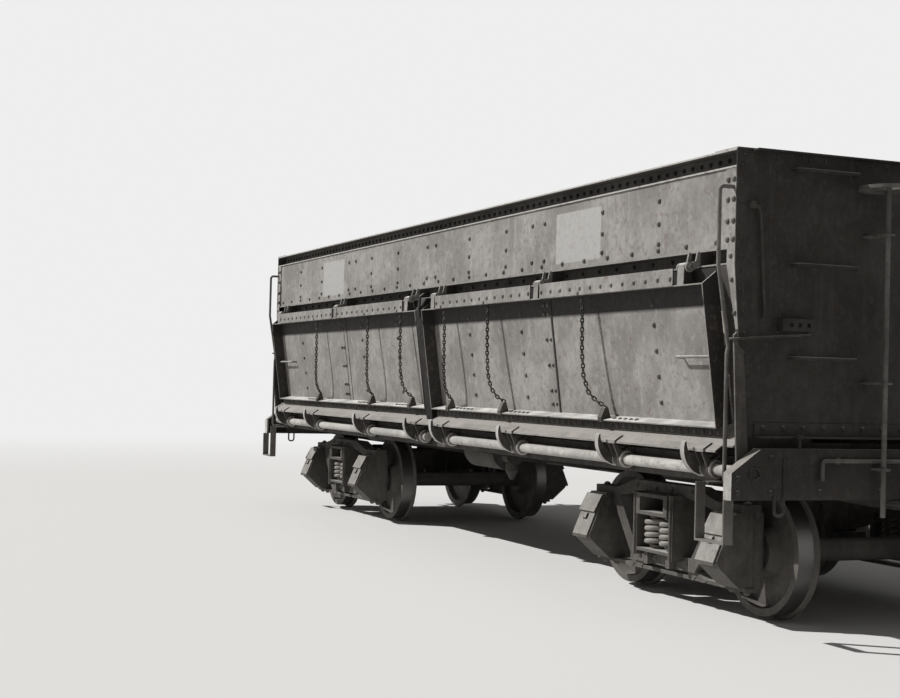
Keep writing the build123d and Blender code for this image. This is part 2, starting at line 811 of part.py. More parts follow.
# End sills: deep pans of plate, open inwards, with poling pockets and a ledge on top
with BuildPart() as end_sills:
    for end in (1, -1):
        outline = (
            (-end_sill_y, up(end_sill_bottom)),
            (-end_sill_y, up(end_sill_shoulder)),
            (-end_sill_y + end_sill_slope, up(end_sill_top)),
            (end_sill_y - end_sill_slope, up(end_sill_top)),
            (end_sill_y, up(end_sill_shoulder)),
            (end_sill_y, up(end_sill_bottom)),
        )
        slab(Plane.YZ.offset(end * end_sill_x), outline, end * end_sill_deep)
        wall = end_sill_wall
        pocket = (
            (-end_sill_y + wall, up(end_sill_bottom) + wall),
            (-end_sill_y + wall, up(end_sill_shoulder) - wall / 2),
            (-end_sill_y + end_sill_slope + wall / 2, up(end_sill_top) - wall),
            (-edge_y - 2 * wall, up(end_sill_top) - wall),
            (-edge_y - 2 * wall, up(end_sill_bottom) + wall),
        )
        for side in (1, -1):
            slab(
                Plane.YZ.offset(end * end_sill_x),
                tuple((-side * y, z) for y, z in pocket),
                end * (end_sill_deep - wall),
                Mode.SUBTRACT,
            )
            rod((end * end_face, side * poling_y, up(poling_z)), (end, 0, 0), poling_r, poling_proud)
            rod(
                (end * (end_face + poling_proud), side * poling_y, up(poling_z)), (-end, 0, 0),
                poling_r - 12, poling_proud + 6, Mode.SUBTRACT,
            )
            # bent bar down the face, turned under in a loop
            bar_x = end * (end_face + strap_bar_r / 2)
            near_y = side * strap_bar_y
            far_y = side * (strap_bar_y + strap_bar_wide)
            round_bar(
                [
                    (bar_x, near_y, up(end_sill_top - strap_bar_in)),
                    (bar_x, near_y, up(strap_bar_foot)),
                    (bar_x, far_y, up(strap_bar_foot)),
                    (bar_x, far_y, up(end_sill_bottom + strap_bar_in)),
                ],
                strap_bar_r, 3 * strap_bar_r,
            )
            # upright pin with a round head
            pin_foot = (end * (end_face - lift_pin_inset), side * lift_pin_y, up(end_sill_top))
            rod(pin_foot, (0, 0, 1), lift_pin_r, lift_pin_rise + lift_head / 2)
            head_foot = (pin_foot[0], pin_foot[1], pin_foot[2] + lift_pin_rise)
            rod(head_foot, (0, 0, 1), lift_head_r, lift_head)
        block(
            end * end_sill_x, end * (end_face + 6), -carrier_half - carrier_frame, carrier_half + carrier_frame,
            up(coupler_z - coupler_half), up(coupler_z + coupler_half),
        )
        block(
            end * (end_sill_x - 1), end * (end_face + 7), -carrier_half, carrier_half,
            up(coupler_z - coupler_half + carrier_frame), up(coupler_z + coupler_half - carrier_frame),
            Mode.SUBTRACT,
        )
keep(end_sills, "end_sills")

# Couplers: a head with its guard arm, the shank, and the draft gear between the sills
with BuildPart() as couplers:
    for end in (1, -1):
        with BuildSketch(Plane.XY.offset(up(coupler_z) - coupler_half)):
            with BuildLine():
                Polyline(
                    (end * (coupler_face - 300), -90),
                    (end * (coupler_face - 300), 90),
                    (end * (coupler_face - 200), 170),
                    (end * (coupler_face + 70), 240),
                    (end * (coupler_face + 85), 200),
                    (end * (coupler_face - 40), 120),
                    (end * (coupler_face - 110), 90),
                    (end * (coupler_face - 110), -60),
                    (end * (coupler_face - 60), -150),
                    (end * (coupler_face - 120), -170),
                    (end * (coupler_face - 220), -150),
                    close=True,
                )
            make_face()
        extrude(amount=2 * coupler_half)
        shank_in = end_sill_x - draft_gear_in
        block(
            end * shank_in, end * (coupler_face - 290), -coupler_shank / 2, coupler_shank / 2,
            up(coupler_z - coupler_shank / 2), up(coupler_z + coupler_shank / 2),
        )
        block(
            end * shank_in, end * (shank_in - draft_gear_long), -centre_sill_y, centre_sill_y,
            up(coupler_z - draft_gear_high / 2), up(coupler_z + draft_gear_high / 2),
        )
keep(couplers, "couplers")

with BuildPart() as knuckles:
    for end in (1, -1):
        slab(
            Plane.XY.offset(up(coupler_z) - knuckle_half),
            (
                (end * (coupler_face - 109), -58),
                (end * (coupler_face - 60), -149),
                (end * (coupler_face - 30), -165),
                (end * coupler_face, -130),
                (end * coupler_face, 10),
                (end * (coupler_face - 40), 40),
                (end * (coupler_face - 62), 20),
                (end * (coupler_face - 62), -30),
                (end * (coupler_face - 90), -30),
            ),
            2 * knuckle_half,
        )
keep(knuckles, "coupler_knuckles")

# Load space: sloping floor, sides and ends
for side_name, side in sides:
    with BuildPart() as floor_half:
        slab(
            Plane.YZ.offset(-inside),
            (
                (0, floor_at(0)),
                (side * lip_y, up(lip_z)),
                (side * lip_y, up(lip_z) - lip_leg),
                (side * (lip_y - sheet), up(lip_z) - lip_leg),
                (side * (lip_y - sheet), floor_at(lip_y - sheet) - floor_sheet),
                (0, floor_at(0) - floor_sheet),
            ),
            2 * inside,
        )
        for end in (1, -1):
            block(
                end * (half_length - lip_end_gap), end * (inside + 1), side * lip_cut_y, side * (lip_y + 1),
                up(lip_z) - lip_leg - 1, up(lip_z) + 60, Mode.SUBTRACT,
            )
    keep(floor_half, "floor_" + side_name)

with BuildPart() as side_sheets:
    for side in (1, -1):
        block(
            -inside, inside, side * (side_y - sheet), side * side_y,
            up(hinge_rail_top), up(body_top - top_chord_depth),
        )
keep(side_sheets, "side_sheets")


def channel_points(side, low, high):
    """Section of a long channel that is open outwards."""
    return (
        (side * web_y, up(low)),
        (side * flange_y, up(low)),
        (side * flange_y, up(low) + channel_wall),
        (side * (web_y + channel_wall), up(low) + channel_wall),
        (side * (web_y + channel_wall), up(high) - channel_wall),
        (side * flange_y, up(high) - channel_wall),
        (side * flange_y, up(high)),
        (side * web_y, up(high)),
    )


with BuildPart() as top_chords:
    for side in (1, -1):
        slab(Plane.YZ.offset(-inside), channel_points(side, body_top - top_chord_depth, body_top), 2 * inside)
        for end in (1, -1):
            slab(
                Plane.XY.offset(up(body_top)),
                (
                    (end * half_length, side * flange_y),
                    (end * (half_length - gusset_x), side * flange_y),
                    (end * (half_length - gusset_x), side * (flange_y - 60)),
                    (end * (half_length - 60), side * (flange_y - gusset_y)),
                    (end * half_length, side * (flange_y - gusset_y)),
                ),
                sheet,
            )
keep(top_chords, "top_chords")

# Hinge rails: the lower channels, with three pairs of hanger bars for each door. A bar
# stands across the channel's mouth and ends in an ear that holds the hinge pin.
ear_in = hinge_arm_width / 2 + hinge_ear_gap
with BuildPart() as hinge_rails:
    for side in (1, -1):
        slab(Plane.YZ.offset(-inside), channel_points(side, hinge_rail_low, hinge_rail_top), 2 * inside)
        for end in (1, -1):
            for place in hinge_places:
                for ear in (-ear_in - hinge_ear, ear_in):
                    with BuildSketch(Plane.YZ.offset(end * place + ear)):
                        with BuildLine():
                            Polyline(
                                (side * (web_y + 5), up(hinge_rail_low) + 5),
                                (side * (web_y + 5), up(hinge_rail_top) - 5),
                                (side * (flange_y + 14), up(hinge_rail_top) - 5),
                                (side * (flange_y + 26), up(hinge_rail_low) + 40),
                                (side * (hinge_y + hinge_eye_r * 0.8), up(hinge_z) + hinge_eye_r * 0.6),
                                (side * hinge_y, up(hinge_z) - hinge_eye_r),
                                (side * (flange_y + 6), up(hinge_rail_low) + 5),
                                close=True,
                            )
                        make_face()
                        with Locations((side * hinge_y, up(hinge_z))):
                            Circle(hinge_eye_r)
                    extrude(amount=hinge_ear)
                pin_half = ear_in + hinge_ear + 10
                rod((end * place - pin_half, side * hinge_y, up(hinge_z)), (1, 0, 0), hinge_pin_r, 2 * pin_half)
keep(hinge_rails, "hinge_rails")

# End sheets, with their corner flanges, a foot angle and the brackets on the outside
with BuildPart() as end_sheets:
    for end in (1, -1):
        slab(
            Plane.YZ.offset(end * inside),
            (
                (-1400, up(end_bottom)),
                (-strip_low_y, up(hinge_rail_low - strip_drop)),
                (-flange_y, up(hinge_rail_low)),
                (-flange_y, up(body_top)),
                (flange_y, up(body_top)),
                (flange_y, up(hinge_rail_low)),
                (strip_low_y, up(hinge_rail_low - strip_drop)),
                (1400, up(end_bottom)),
            ),
            end * sheet,
        )
        block(
            end * half_length, end * (half_length + 10), -1300, 1300,
            up(end_bottom), up(end_bottom + 90),
        )
        block(
            end * half_length, end * (half_length + 70), -1300, 1300,
            up(end_bottom), up(end_bottom + 10),
        )
        for side in (1, -1):
            # bar with three square holes for the lever's keeper, on two feet
            bar_low = up(body_top - keeper_drop)
            block(
                end * (half_length + keeper_stand), end * (half_length + keeper_stand + 10),
                side * keeper_in, side * keeper_out, bar_low, bar_low + keeper_high,
            )
            for foot in (keeper_in, keeper_out - 30):
                block(
                    end * half_length, end * (half_length + keeper_stand),
                    side * foot, side * (foot + 30), bar_low, bar_low + keeper_high,
                )
            for share in (0.25, 0.5, 0.75):
                hole_y = keeper_in + (keeper_out - keeper_in) * share
                block(
                    end * (half_length + keeper_stand - 1), end * (half_length + keeper_stand + 11),
                    side * (hole_y - 12), side * (hole_y + 12),
                    bar_low + keeper_high / 2 - 12, bar_low + keeper_high / 2 + 12, Mode.SUBTRACT,
                )
        # top angle across the end
        block(
            end * half_length, end * (half_length + 70), -web_y, web_y,
            up(body_top - 10), up(body_top),
        )
keep(end_sheets, "end_sheets")

# Corner posts: a strip of plate on the side sheet, a leaning strip under the hinge rail,
# and the plate behind it that closes the side between the door and the end sheet
corner_start = door_far + post_gap
strip_low_z = hinge_rail_low - strip_drop
with BuildPart() as leaning_strip:
    slab(
        Plane.YZ.offset(inside - strip_top_width),
        (
            (-flange_y, up(hinge_rail_low)),
            (-strip_low_y, up(strip_low_z)),
            (-door_y(strip_low_z) + corner_in, up(strip_low_z)),
            (-door_y(hinge_rail_low) + corner_in, up(hinge_rail_low)),
        ),
        strip_top_width,
    )
    slab(
        Plane.XZ.offset(door_heel_y),
        (
            (inside - strip_top_width, up(hinge_rail_low)),
            (inside - strip_foot_width, up(strip_low_z)),
            (inside - strip_foot_width, up(strip_low_z) - sheet),
            (inside - strip_top_width - sheet, up(strip_low_z) - sheet),
            (inside - strip_top_width - sheet, up(hinge_rail_low)),
        ),
        door_edge_y - door_heel_y, Mode.SUBTRACT,
    )

with BuildPart() as corner_posts:
    for end in (1, -1):
        for side in (1, -1):
            block(
                end * (inside - strip_width), end * inside, side * side_y, side * (side_y + sheet),
                up(hinge_rail_top), up(body_top - top_chord_depth),
            )
            folded(
                Plane.YZ.offset(end * corner_start),
                (
                    (side * (door_y(hinge_rail_low) - corner_in), up(hinge_rail_low) - 2),
                    (side * (door_heel_y - corner_in), up(door_heel_z)),
                    (side * (door_heel_y - corner_in), floor_at(door_heel_y - corner_in) + 3),
                ),
                sheet, end * (inside - corner_start),
            )
            strip = leaning_strip.part
            if end < 0:
                strip = strip.mirror(Plane.YZ)
            if side > 0:
                strip = strip.mirror(Plane.XZ)
            add(strip)
            # plate that closes the hinge rail's end, between its two flanges
            block(
                end * (inside - strip_top_width), end * inside, side * (flange_y - sheet), side * flange_y,
                up(hinge_rail_low) + channel_wall, up(hinge_rail_top) - channel_wall,
            )
keep(corner_posts, "corner_posts")

# Middle posts between the doors, each with a hooked strap up to the hinge rail
with BuildPart() as mid_posts:
    for side in (1, -1):
        slab(
            Plane.YZ.offset(-post_half),
            (
                (side * (flange_y - 3), up(hinge_rail_low) - 2),
                (side * (door_edge_y - 60), up(hinge_rail_low) - 2),
                (side * door_edge_y, up(door_flange_z)),
                (side * 1420, floor_at(1420)),
                (side * 1310, floor_at(1310)),
                (side * (door_heel_y - 10), up(door_heel_z)),
            ),
            2 * post_half,
        )
        folded(
            Plane.YZ.offset(8),
            (
                (side * (door_edge_y - 6), up(door_flange_z - 60)),
                (side * (door_edge_y + 3), up(door_flange_z) + 10),
                (side * (door_edge_y - 6), up(hinge_rail_low) + 8),
                (side * (door_edge_y - 40), up(hinge_rail_low) + 34),
                (side * (flange_y + 4), up(hinge_rail_low) + 20),
            ),
            12, 44,
        )
keep(mid_posts, "mid_posts")

# Doors: a shallow pan of sheet with edge flanges, hung on three hinges. One is drawn, for
# the right front quarter, and the others are its mirror images.
with BuildPart() as door:
    folded(
        Plane.YZ.offset(door_near),
        (
            (-door_top_y, up(door_top)),
            (-door_heel_y, up(door_heel_z)),
            (-door_ledge_y, up(door_ledge_z)),
        ),
        sheet, door_far - door_near,
    )
    block(
        door_near, door_far, -door_leg_y, -door_leg_y + sheet,
        up(door_bottom), up(door_ledge_z) + (door_ledge_y - door_leg_y) * ledge_slope,
    )
    folded(
        Plane.YZ.offset(door_near),
        ((-door_y(door_flange_z), up(door_flange_z)), (-door_edge_y + 4, up(door_flange_z))),
        sheet, door_far - door_near,
    )
    # the flange's upright leg, from hinge to hinge
    for low_hinge, high_hinge in zip(hinge_places[:-1], hinge_places[1:]):
        low_x = low_hinge + leg_notch
        high_x = high_hinge - leg_notch
        block(low_x, high_x, -door_edge_y, -door_edge_y + sheet, up(door_flange_z), up(door_leg_top))
        block(
            low_x + leg_backing, high_x - leg_backing, -door_edge_y + sheet, -door_edge_y + 2 * sheet,
            up(door_flange_z), up(door_leg_top) - leg_backing_drop,
        )
    for edge_x in (door_near, door_far - sheet):
        slab(
            Plane.YZ.offset(edge_x),
            (
                (-door_y(door_top - end_plate_drop), up(door_top - end_plate_drop)),
                (-door_y(door_top - end_plate_drop) - sheet, up(door_top - end_plate_drop)),
                (-door_edge_y, up(door_flange_z)),
                (-door_ledge_y, up(door_ledge_z)),
                (-door_heel_y, up(door_heel_z)),
            ),
            sheet,
        )
    # cover strip over the joint between the door's two plates
    slab(
        Plane.YZ.offset(hinge_places[1] - seam_wide / 2),
        (
            (-door_y(door_flange_z) - sheet / 2, up(door_flange_z)),
            (-door_y(door_flange_z) - sheet / 2 - seam_thick, up(door_flange_z)),
            (-door_heel_y - sheet / 2 - seam_thick, up(door_heel_z) - 1),
            (-door_heel_y - sheet / 2, up(door_heel_z) - 1),
        ),
        seam_wide,
    )
    for place in hinge_places:
        with BuildSketch(Plane.YZ.offset(place - hinge_arm_width / 2)):
            with BuildLine():
                arm = Line((-door_edge_y + 6, up(door_flange_z)), (-hinge_y - hinge_eye_r, up(hinge_z)))
                Line(arm @ 1, (-hinge_y + hinge_eye_r, up(hinge_z)))
                heel = ThreePointArc(
                    (-hinge_y + hinge_eye_r, up(hinge_z)),
                    (-hinge_y + 34, up(door_flange_z) + 40),
                    (-door_y(door_flange_z), up(door_flange_z)),
                )
                Line(heel @ 1, arm @ 0)
            make_face()
            with Locations((-hinge_y, up(hinge_z))):
                Circle(hinge_eye_r)
                Circle(hinge_pin_r + pin_play, mode=Mode.SUBTRACT)
        extrude(amount=hinge_arm_width)
    lug_pin_z = door_ledge_z + lug_rise - lug_pin_r
    lug_places = (door_near + chain_lugs[0], door_near + chain_lugs[1], door_far - chain_lugs[2])
    for place in lug_places:
        slab(
            Plane.YZ.offset(place - lug_half),
            (
                (-door_ledge_y - 6, up(door_ledge_z) - 12),
                (-door_ledge_y - 14, up(door_ledge_z) + 20),
                (-door_ledge_y + lug_lean - lug_pin_r, up(lug_pin_z)),
                (-door_ledge_y + lug_lean + lug_pin_r, up(lug_pin_z)),
                (-door_ledge_y + 64, up(door_ledge_z) + 64 * ledge_slope),
            ),
            2 * lug_half,
        )
        rod((place - lug_half, -door_ledge_y + lug_lean, up(lug_pin_z)), (1, 0, 0), lug_pin_r, 2 * lug_half)
    grip_near = door_far - grip_inset
    grip_plate = -door_y(grip_z)
    round_bar(
        [
            (grip_near, grip_plate, up(grip_z)),
            (grip_near, grip_plate - grip_out, up(grip_z)),
            (door_far - grip_end_gap, grip_plate - grip_out, up(grip_z)),
        ],
        grip_r, grip_bend,
    )
keep_corners(door, "door")

# Chains from the door's upper flange down to the lugs, every second link turned across
chain_places = (door_near + chain_tops[0], door_near + chain_tops[1], door_far - chain_tops[2])
chain_top_z = door_flange_z - sheet / 2 - link_bar - chain_clear
chain_low_z = door_ledge_z + lug_rise + link_bar + chain_clear
with BuildPart() as door_chains:
    for top_x, low_x in zip(chain_places, lug_places):
        run = Vector(low_x - top_x, chain_top_y - chain_low_y, chain_low_z - chain_top_z)
        pitch = run.length / links_in_chain
        link_long = pitch + 2 * link_bar - 2 * link_seat
        chain_plane = Plane(origin=(top_x, -chain_top_y, up(chain_top_z)), z_dir=run, x_dir=(0, 1, 0))
        for link in range(links_in_chain):
            turned = chain_plane.offset(pitch * (link + 0.5)).rotated((0, 0, 90 * (link % 2)))
            with BuildSketch(Plane(origin=turned.origin, x_dir=turned.x_dir, z_dir=turned.y_dir)):
                Rectangle(link_wide, link_long)
                Rectangle(link_wide - 2 * link_bar, link_long - 2 * link_bar, mode=Mode.SUBTRACT)
            extrude(amount=link_bar / 2, both=True)
keep_corners(door_chains, "door_chains")

# Lock shafts: a bar with four crescent hooks on hubs, and a lever at the wagon's end
with BuildPart() as lock_shaft:
    rod((shaft_start, -lock_y, up(lock_z)), (1, 0, 0), shaft_r, lever_x + lever_thick - shaft_start)
    for place in hook_places:
        rod((place - hub_width / 2, -lock_y, up(lock_z)), (1, 0, 0), hub_out_r, hub_width)
        with BuildSketch(Plane.YZ.offset(place - hook_width / 2)):
            with BuildLine():
                root = Line((-lock_y + 10, up(lock_z) - 46), (-lock_y - 22, up(lock_z) + 42))
                inner = ThreePointArc(
                    root @ 1,
                    (-lock_y - hook_reach * 0.66, up(lock_z) + 66),
                    (-lock_y - hook_reach + 2, up(lock_z) + hook_rise),
                )
                tip = Line(inner @ 1, (-lock_y - hook_reach - 10, up(lock_z) + hook_rise - 8))
                ThreePointArc(
                    tip @ 1,
                    (-lock_y - hook_reach * 0.84, up(lock_z) + 8),
                    root @ 0,
                )
            make_face()
        extrude(amount=hook_width)
    lever_low = up(lock_z)
    with BuildSketch(Plane.YZ.offset(lever_x)):
        with BuildLine():
            Polyline(
                (-lock_y + lever_width / 2, lever_low),
                (-lock_y - lever_width / 2, lever_low),
                (-lock_y - lever_lean - lever_width * 0.45, lever_low + lever_long - 170),
                (-lock_y - lever_lean - lever_width * 0.55, lever_low + lever_long - 20),
                (-lock_y - lever_lean - lever_width * 0.3, lever_low + lever_long),
                (-lock_y - lever_lean - lever_width * 0.12, lever_low + lever_long - 80),
                (-lock_y - lever_lean + lever_width * 0.3, lever_low + lever_long - 110),
                close=True,
            )
        make_face()
        with Locations((-lock_y, lever_low)):
            Circle(lever_width / 2)
    extrude(amount=lever_thick)
keep_corners(lock_shaft, "lock_shaft")

# Bearing brackets that carry the lock shafts from the side sills: two cheeks and a
# sleeve, under a cap that laps over the floor's lip
with BuildPart() as shaft_bearings:
    for side in (1, -1):
        for end in (1, -1):
            for place in hook_places:
                start = end * place + bearing_offset - bearing_width / 2
                for cheek in (start, start + bearing_width - bearing_cheek):
                    slab(
                        Plane.YZ.offset(cheek),
                        (
                            (side * side_sill_y, up(sill_bottom)),
                            (side * side_sill_y, up(sill_top)),
                            (side * (side_sill_y + 34), up(sill_top)),
                            (side * (lock_y + bearing_r * 0.6), up(lock_z) + bearing_r * 0.8),
                            (side * lip_y, up(lip_z) - lip_leg),
                            (side * (lip_y + cap_thick), up(lip_z) - lip_leg),
                            (side * (lock_y + bearing_r), up(lock_z)),
                            (side * lock_y, up(lock_z) - bearing_r),
                        ),
                        bearing_cheek,
                    )
                slab(
                    Plane.YZ.offset(start - cap_past),
                    (
                        (side * cap_in_y, floor_at(cap_in_y)),
                        (side * cap_in_y, floor_at(cap_in_y) + cap_thick),
                        (side * (lip_y + cap_thick), up(lip_z) + cap_thick / 2),
                        (side * (lip_y + cap_thick), up(lip_z) - lip_leg - 2),
                        (side * lip_y, up(lip_z) - lip_leg - 2),
                        (side * lip_y, up(lip_z)),
                    ),
                    bearing_width + 2 * cap_past,
                )
                rod((start, side * lock_y, up(lock_z)), (1, 0, 0), bearing_r, bearing_width)
                rod(
                    (start, side * lock_y, up(lock_z)), (1, 0, 0), shaft_r + pin_play, bearing_width,
                    Mode.SUBTRACT,
                )
keep(shaft_bearings, "shaft_bearings")

# Handrails at the four corners, in one bent bar each
handrail_x = half_length - handrail_gap
handrail_route = (
    (side_y + sheet, body_top - handrail_top_drop),
    (handrail_y, body_top - handrail_top_drop),
    (handrail_y, body_top - handrail_knee_drop),
    (handrail_waist_y, body_top - handrail_waist_drop),
    (handrail_low_y, body_top - handrail_waist_drop - 40),
    (handrail_low_y, handrail_foot),
    (side_sill_y, handrail_foot),
)
with BuildPart() as handrails:
    for side in (1, -1):
        for end in (1, -1):
            round_bar([(end * handrail_x, side * y, up(z)) for y, z in handrail_route], bar_r, bar_bend)
keep(handrails, "handrails")

with BuildPart() as grab_irons:
    for side in (1, -1):
        for end in (1, -1):
            for drop in grab_drops:
                height = up(body_top - drop)
                round_bar(
                    [
                        (end * half_length, side * grab_y_out, height),
                        (end * (half_length + grab_stand), side * grab_y_out, height),
                        (end * (half_length + grab_stand), side * grab_y_in, height),
                        (end * half_length, side * grab_y_in, height),
                    ],
                    bar_r, bar_bend * 0.8,
                )
keep(grab_irons, "end_grab_irons")

# Stirrup steps under the corners, each a bent flat bar with a stay to the side sill
with BuildPart() as stirrups:
    step_out = end_face - step_inset
    for side in (1, -1):
        for end in (1, -1):
            folded(
                Plane.XZ.offset(-side * step_y - step_width / 2),
                (
                    (end * (step_out - step_long), up(sill_bottom) + step_bar),
                    (end * (step_out - step_long), up(step_z)),
                    (end * step_out, up(step_z)),
                    (end * step_out, up(end_sill_bottom)),
                ),
                step_bar, step_width,
            )
            block(
                end * (step_out - step_long - 30), end * (step_out - step_long + 34),
                side * side_sill_y, side * (step_y - step_width / 2),
                up(sill_bottom), up(sill_bottom) + step_bar,
            )
keep(stirrups, "stirrup_steps")

# Air brake under the body: cylinder, reservoir with its valve, and the pipe to each end
cylinder_x = -500.0
cylinder_y = 520.0
cylinder_z = 875.0
cylinder_r = 150.0
with BuildPart() as brake_cylinder:
    rod((cylinder_x - 210, cylinder_y, up(cylinder_z)), (1, 0, 0), cylinder_r, 420)
    rod((cylinder_x + 120, cylinder_y, up(cylinder_z)), (1, 0, 0), cylinder_r + 26, 30)
    rod((cylinder_x + 210, cylinder_y, up(cylinder_z)), (1, 0, 0), 24, 230)
    block(
        cylinder_x - 180, cylinder_x + 180, sill_outer, cylinder_y + 100,
        up(centre_sill_top - 14), up(centre_sill_top),
    )
keep(brake_cylinder, "brake_cylinder")

reservoir_x = -480.0
reservoir_y = -560.0
reservoir_z = 830.0
with BuildPart() as brake_reservoir:
    rod((reservoir_x - 330, reservoir_y, up(reservoir_z)), (1, 0, 0), 170, 660)
    rod((reservoir_x + 330, reservoir_y, up(reservoir_z - 20)), (1, 0, 0), 90, 130)
    with BuildSketch(Plane.XZ.offset(-reservoir_y)):
        with BuildLine():
            Polyline(
                (reservoir_x + 395, up(reservoir_z - 100)),
                (reservoir_x + 395 + 60, up(reservoir_z - 100)),
                (reservoir_x + 395 + 60, up(reservoir_z - 170)),
                (reservoir_x + 395 + 18, up(reservoir_z - 250)),
                (reservoir_x + 395, up(reservoir_z - 250)),
                close=True,
            )
        make_face()
    revolve(axis=Axis((reservoir_x + 395, reservoir_y, 0), (0, 0, 1)))
    for hanger in (-250, 220):
        block(
            reservoir_x + hanger, reservoir_x + hanger + 50, -sill_outer, reservoir_y - 120,
            up(centre_sill_top - 14), up(centre_sill_top),
        )
        block(
            reservoir_x + hanger, reservoir_x + hanger + 50, reservoir_y - 60, reservoir_y + 60,
            up(reservoir_z + 100), up(centre_sill_top - 14),
        )
keep(brake_reservoir, "brake_reservoir")

with BuildPart() as brake_pipe:
    rod((-end_face - 60, -pipe_y, up(pipe_z)), (1, 0, 0), pipe_r, 2 * end_face + 120)
    for end in (1, -1):
        rod((end * (end_face + 60), -pipe_y, up(pipe_z)), (end, 0, 0), 34, 90)
        rod((end * (end_face + 105), -pipe_y, up(pipe_z)), (0, 0, 1), 14, 70)
keep(brake_pipe, "brake_pipe")

# Hand brake at the front end: an upright staff with a flat wheel, in two brackets
staff_y = -500.0
staff_x = end_face + 85
staff_top = 2700.0
with BuildPart() as hand_brake:
    rod((staff_x, staff_y, up(700)), (0, 0, 1), 16, staff_top - 700)
    for height in (980.0, 1500.0, 2400.0):
        reach = end_face if height < end_sill_top else half_length
        block(reach, staff_x + 30, staff_y - 30, staff_y + 30, up(height), up(height) + 14)
    with BuildSketch(Plane.XY.offset(up(staff_top) - 24)):
        with Locations((staff_x, staff_y)):
            Circle(180)
            Circle(158, mode=Mode.SUBTRACT)
            Circle(34)
            with PolarLocations(0, 5):
                with Locations((96, 0)):
                    Rectangle(136, 18)
    extrude(amount=22)
keep(hand_brake, "hand_brake")

# Uncoupling levers along the end sills
with BuildPart() as coupler_levers:
    for end in (1, -1):
        lever_line = end_face + 26
        round_bar(
            [
                (end * lever_line, -end * 900, up(coupler_z + 40)),
                (end * lever_line, -end * 900, up(coupler_z + 160)),
                (end * lever_line, -end * 60, up(coupler_z + 160)),
                (end * (lever_line + 60), -end * 60, up(coupler_z + 160)),
            ],
            bar_r, 24,
        )
        for across in (780, 300):
            block(
                end * end_face, end * (lever_line - 10), -end * across - 14, -end * across + 14,
                up(coupler_z + 140), up(coupler_z + 180),
            )
keep(coupler_levers, "coupler_levers")
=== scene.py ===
import json
import math

import bpy
from mathutils import Matrix, Vector


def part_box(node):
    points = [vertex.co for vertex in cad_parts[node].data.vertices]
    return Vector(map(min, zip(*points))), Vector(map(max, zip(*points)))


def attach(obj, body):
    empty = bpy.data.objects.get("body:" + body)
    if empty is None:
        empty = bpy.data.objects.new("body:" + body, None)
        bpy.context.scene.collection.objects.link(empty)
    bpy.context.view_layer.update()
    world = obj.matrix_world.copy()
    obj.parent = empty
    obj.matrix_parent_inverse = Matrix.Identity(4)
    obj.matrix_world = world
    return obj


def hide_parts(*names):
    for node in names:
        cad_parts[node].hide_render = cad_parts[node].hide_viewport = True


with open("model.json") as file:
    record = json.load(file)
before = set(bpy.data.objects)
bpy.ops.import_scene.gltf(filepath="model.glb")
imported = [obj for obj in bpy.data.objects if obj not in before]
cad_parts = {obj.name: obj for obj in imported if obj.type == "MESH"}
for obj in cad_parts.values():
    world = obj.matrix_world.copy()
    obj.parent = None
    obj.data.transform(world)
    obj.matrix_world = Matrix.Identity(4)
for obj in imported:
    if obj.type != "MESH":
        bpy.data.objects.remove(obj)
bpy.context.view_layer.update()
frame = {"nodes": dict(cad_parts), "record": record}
nodes = frame["nodes"]

rail = 0.025
sides = {"right": -1, "left": 1}
ends = {"front": 1, "rear": -1}


def up(height):
    return rail + height


# materials


def nodeOf(tree, kind, **values):
    node = tree.nodes.new(kind)
    for name, value in values.items():
        setattr(node, name, value)
    return node


def noise(tree, coords, scale, detail, roughness, stretch=None):
    source = coords
    if stretch:
        mapping = nodeOf(tree, "ShaderNodeMapping")
        mapping.inputs["Scale"].default_value = stretch
        tree.links.new(coords, mapping.inputs["Vector"])
        source = mapping.outputs["Vector"]
    texture = nodeOf(tree, "ShaderNodeTexNoise")
    texture.inputs["Scale"].default_value = scale
    texture.inputs["Detail"].default_value = detail
    texture.inputs["Roughness"].default_value = roughness
    tree.links.new(source, texture.inputs["Vector"])
    return texture.outputs["Fac"]


def remap(tree, value, span, low=0.0, high=1.0):
    ranger = nodeOf(tree, "ShaderNodeMapRange", interpolation_type="SMOOTHSTEP")
    ranger.inputs["From Min"].default_value = span[0]
    ranger.inputs["From Max"].default_value = span[1]
    ranger.inputs["To Min"].default_value = low
    ranger.inputs["To Max"].default_value = high
    tree.links.new(value, ranger.inputs["Value"])
    return ranger.outputs["Result"]


def joinMath(tree, operation, first, second, clamp=True):
    node = nodeOf(tree, "ShaderNodeMath", operation=operation, use_clamp=clamp)
    for place, value in enumerate((first, second)):
        if isinstance(value, (int, float)):
            node.inputs[place].default_value = value
        else:
            tree.links.new(value, node.inputs[place])
    return node.outputs[0]


def times(tree, first, second):
    return joinMath(tree, "MULTIPLY", first, second)


def absolute(tree, value):
    return joinMath(tree, "ABSOLUTE", value, 0.0, clamp=False)


def splitOf(tree, value):
    node = nodeOf(tree, "ShaderNodeSeparateXYZ")
    tree.links.new(value, node.inputs[0])
    return node.outputs


def within(tree, value, low, high, edge):
    rising = remap(tree, value, (low, low + edge))
    falling = remap(tree, value, (high, high - edge))
    return times(tree, rising, falling)


def layer(tree, below, colour, mask):
    mix = nodeOf(tree, "ShaderNodeMix", data_type="RGBA")
    tree.links.new(mask, mix.inputs[0])
    for socket, value in ((mix.inputs[6], below), (mix.inputs[7], colour)):
        if isinstance(value, tuple):
            socket.default_value = (*value, 1.0)
        else:
            tree.links.new(value, socket)
    return mix.outputs[2]


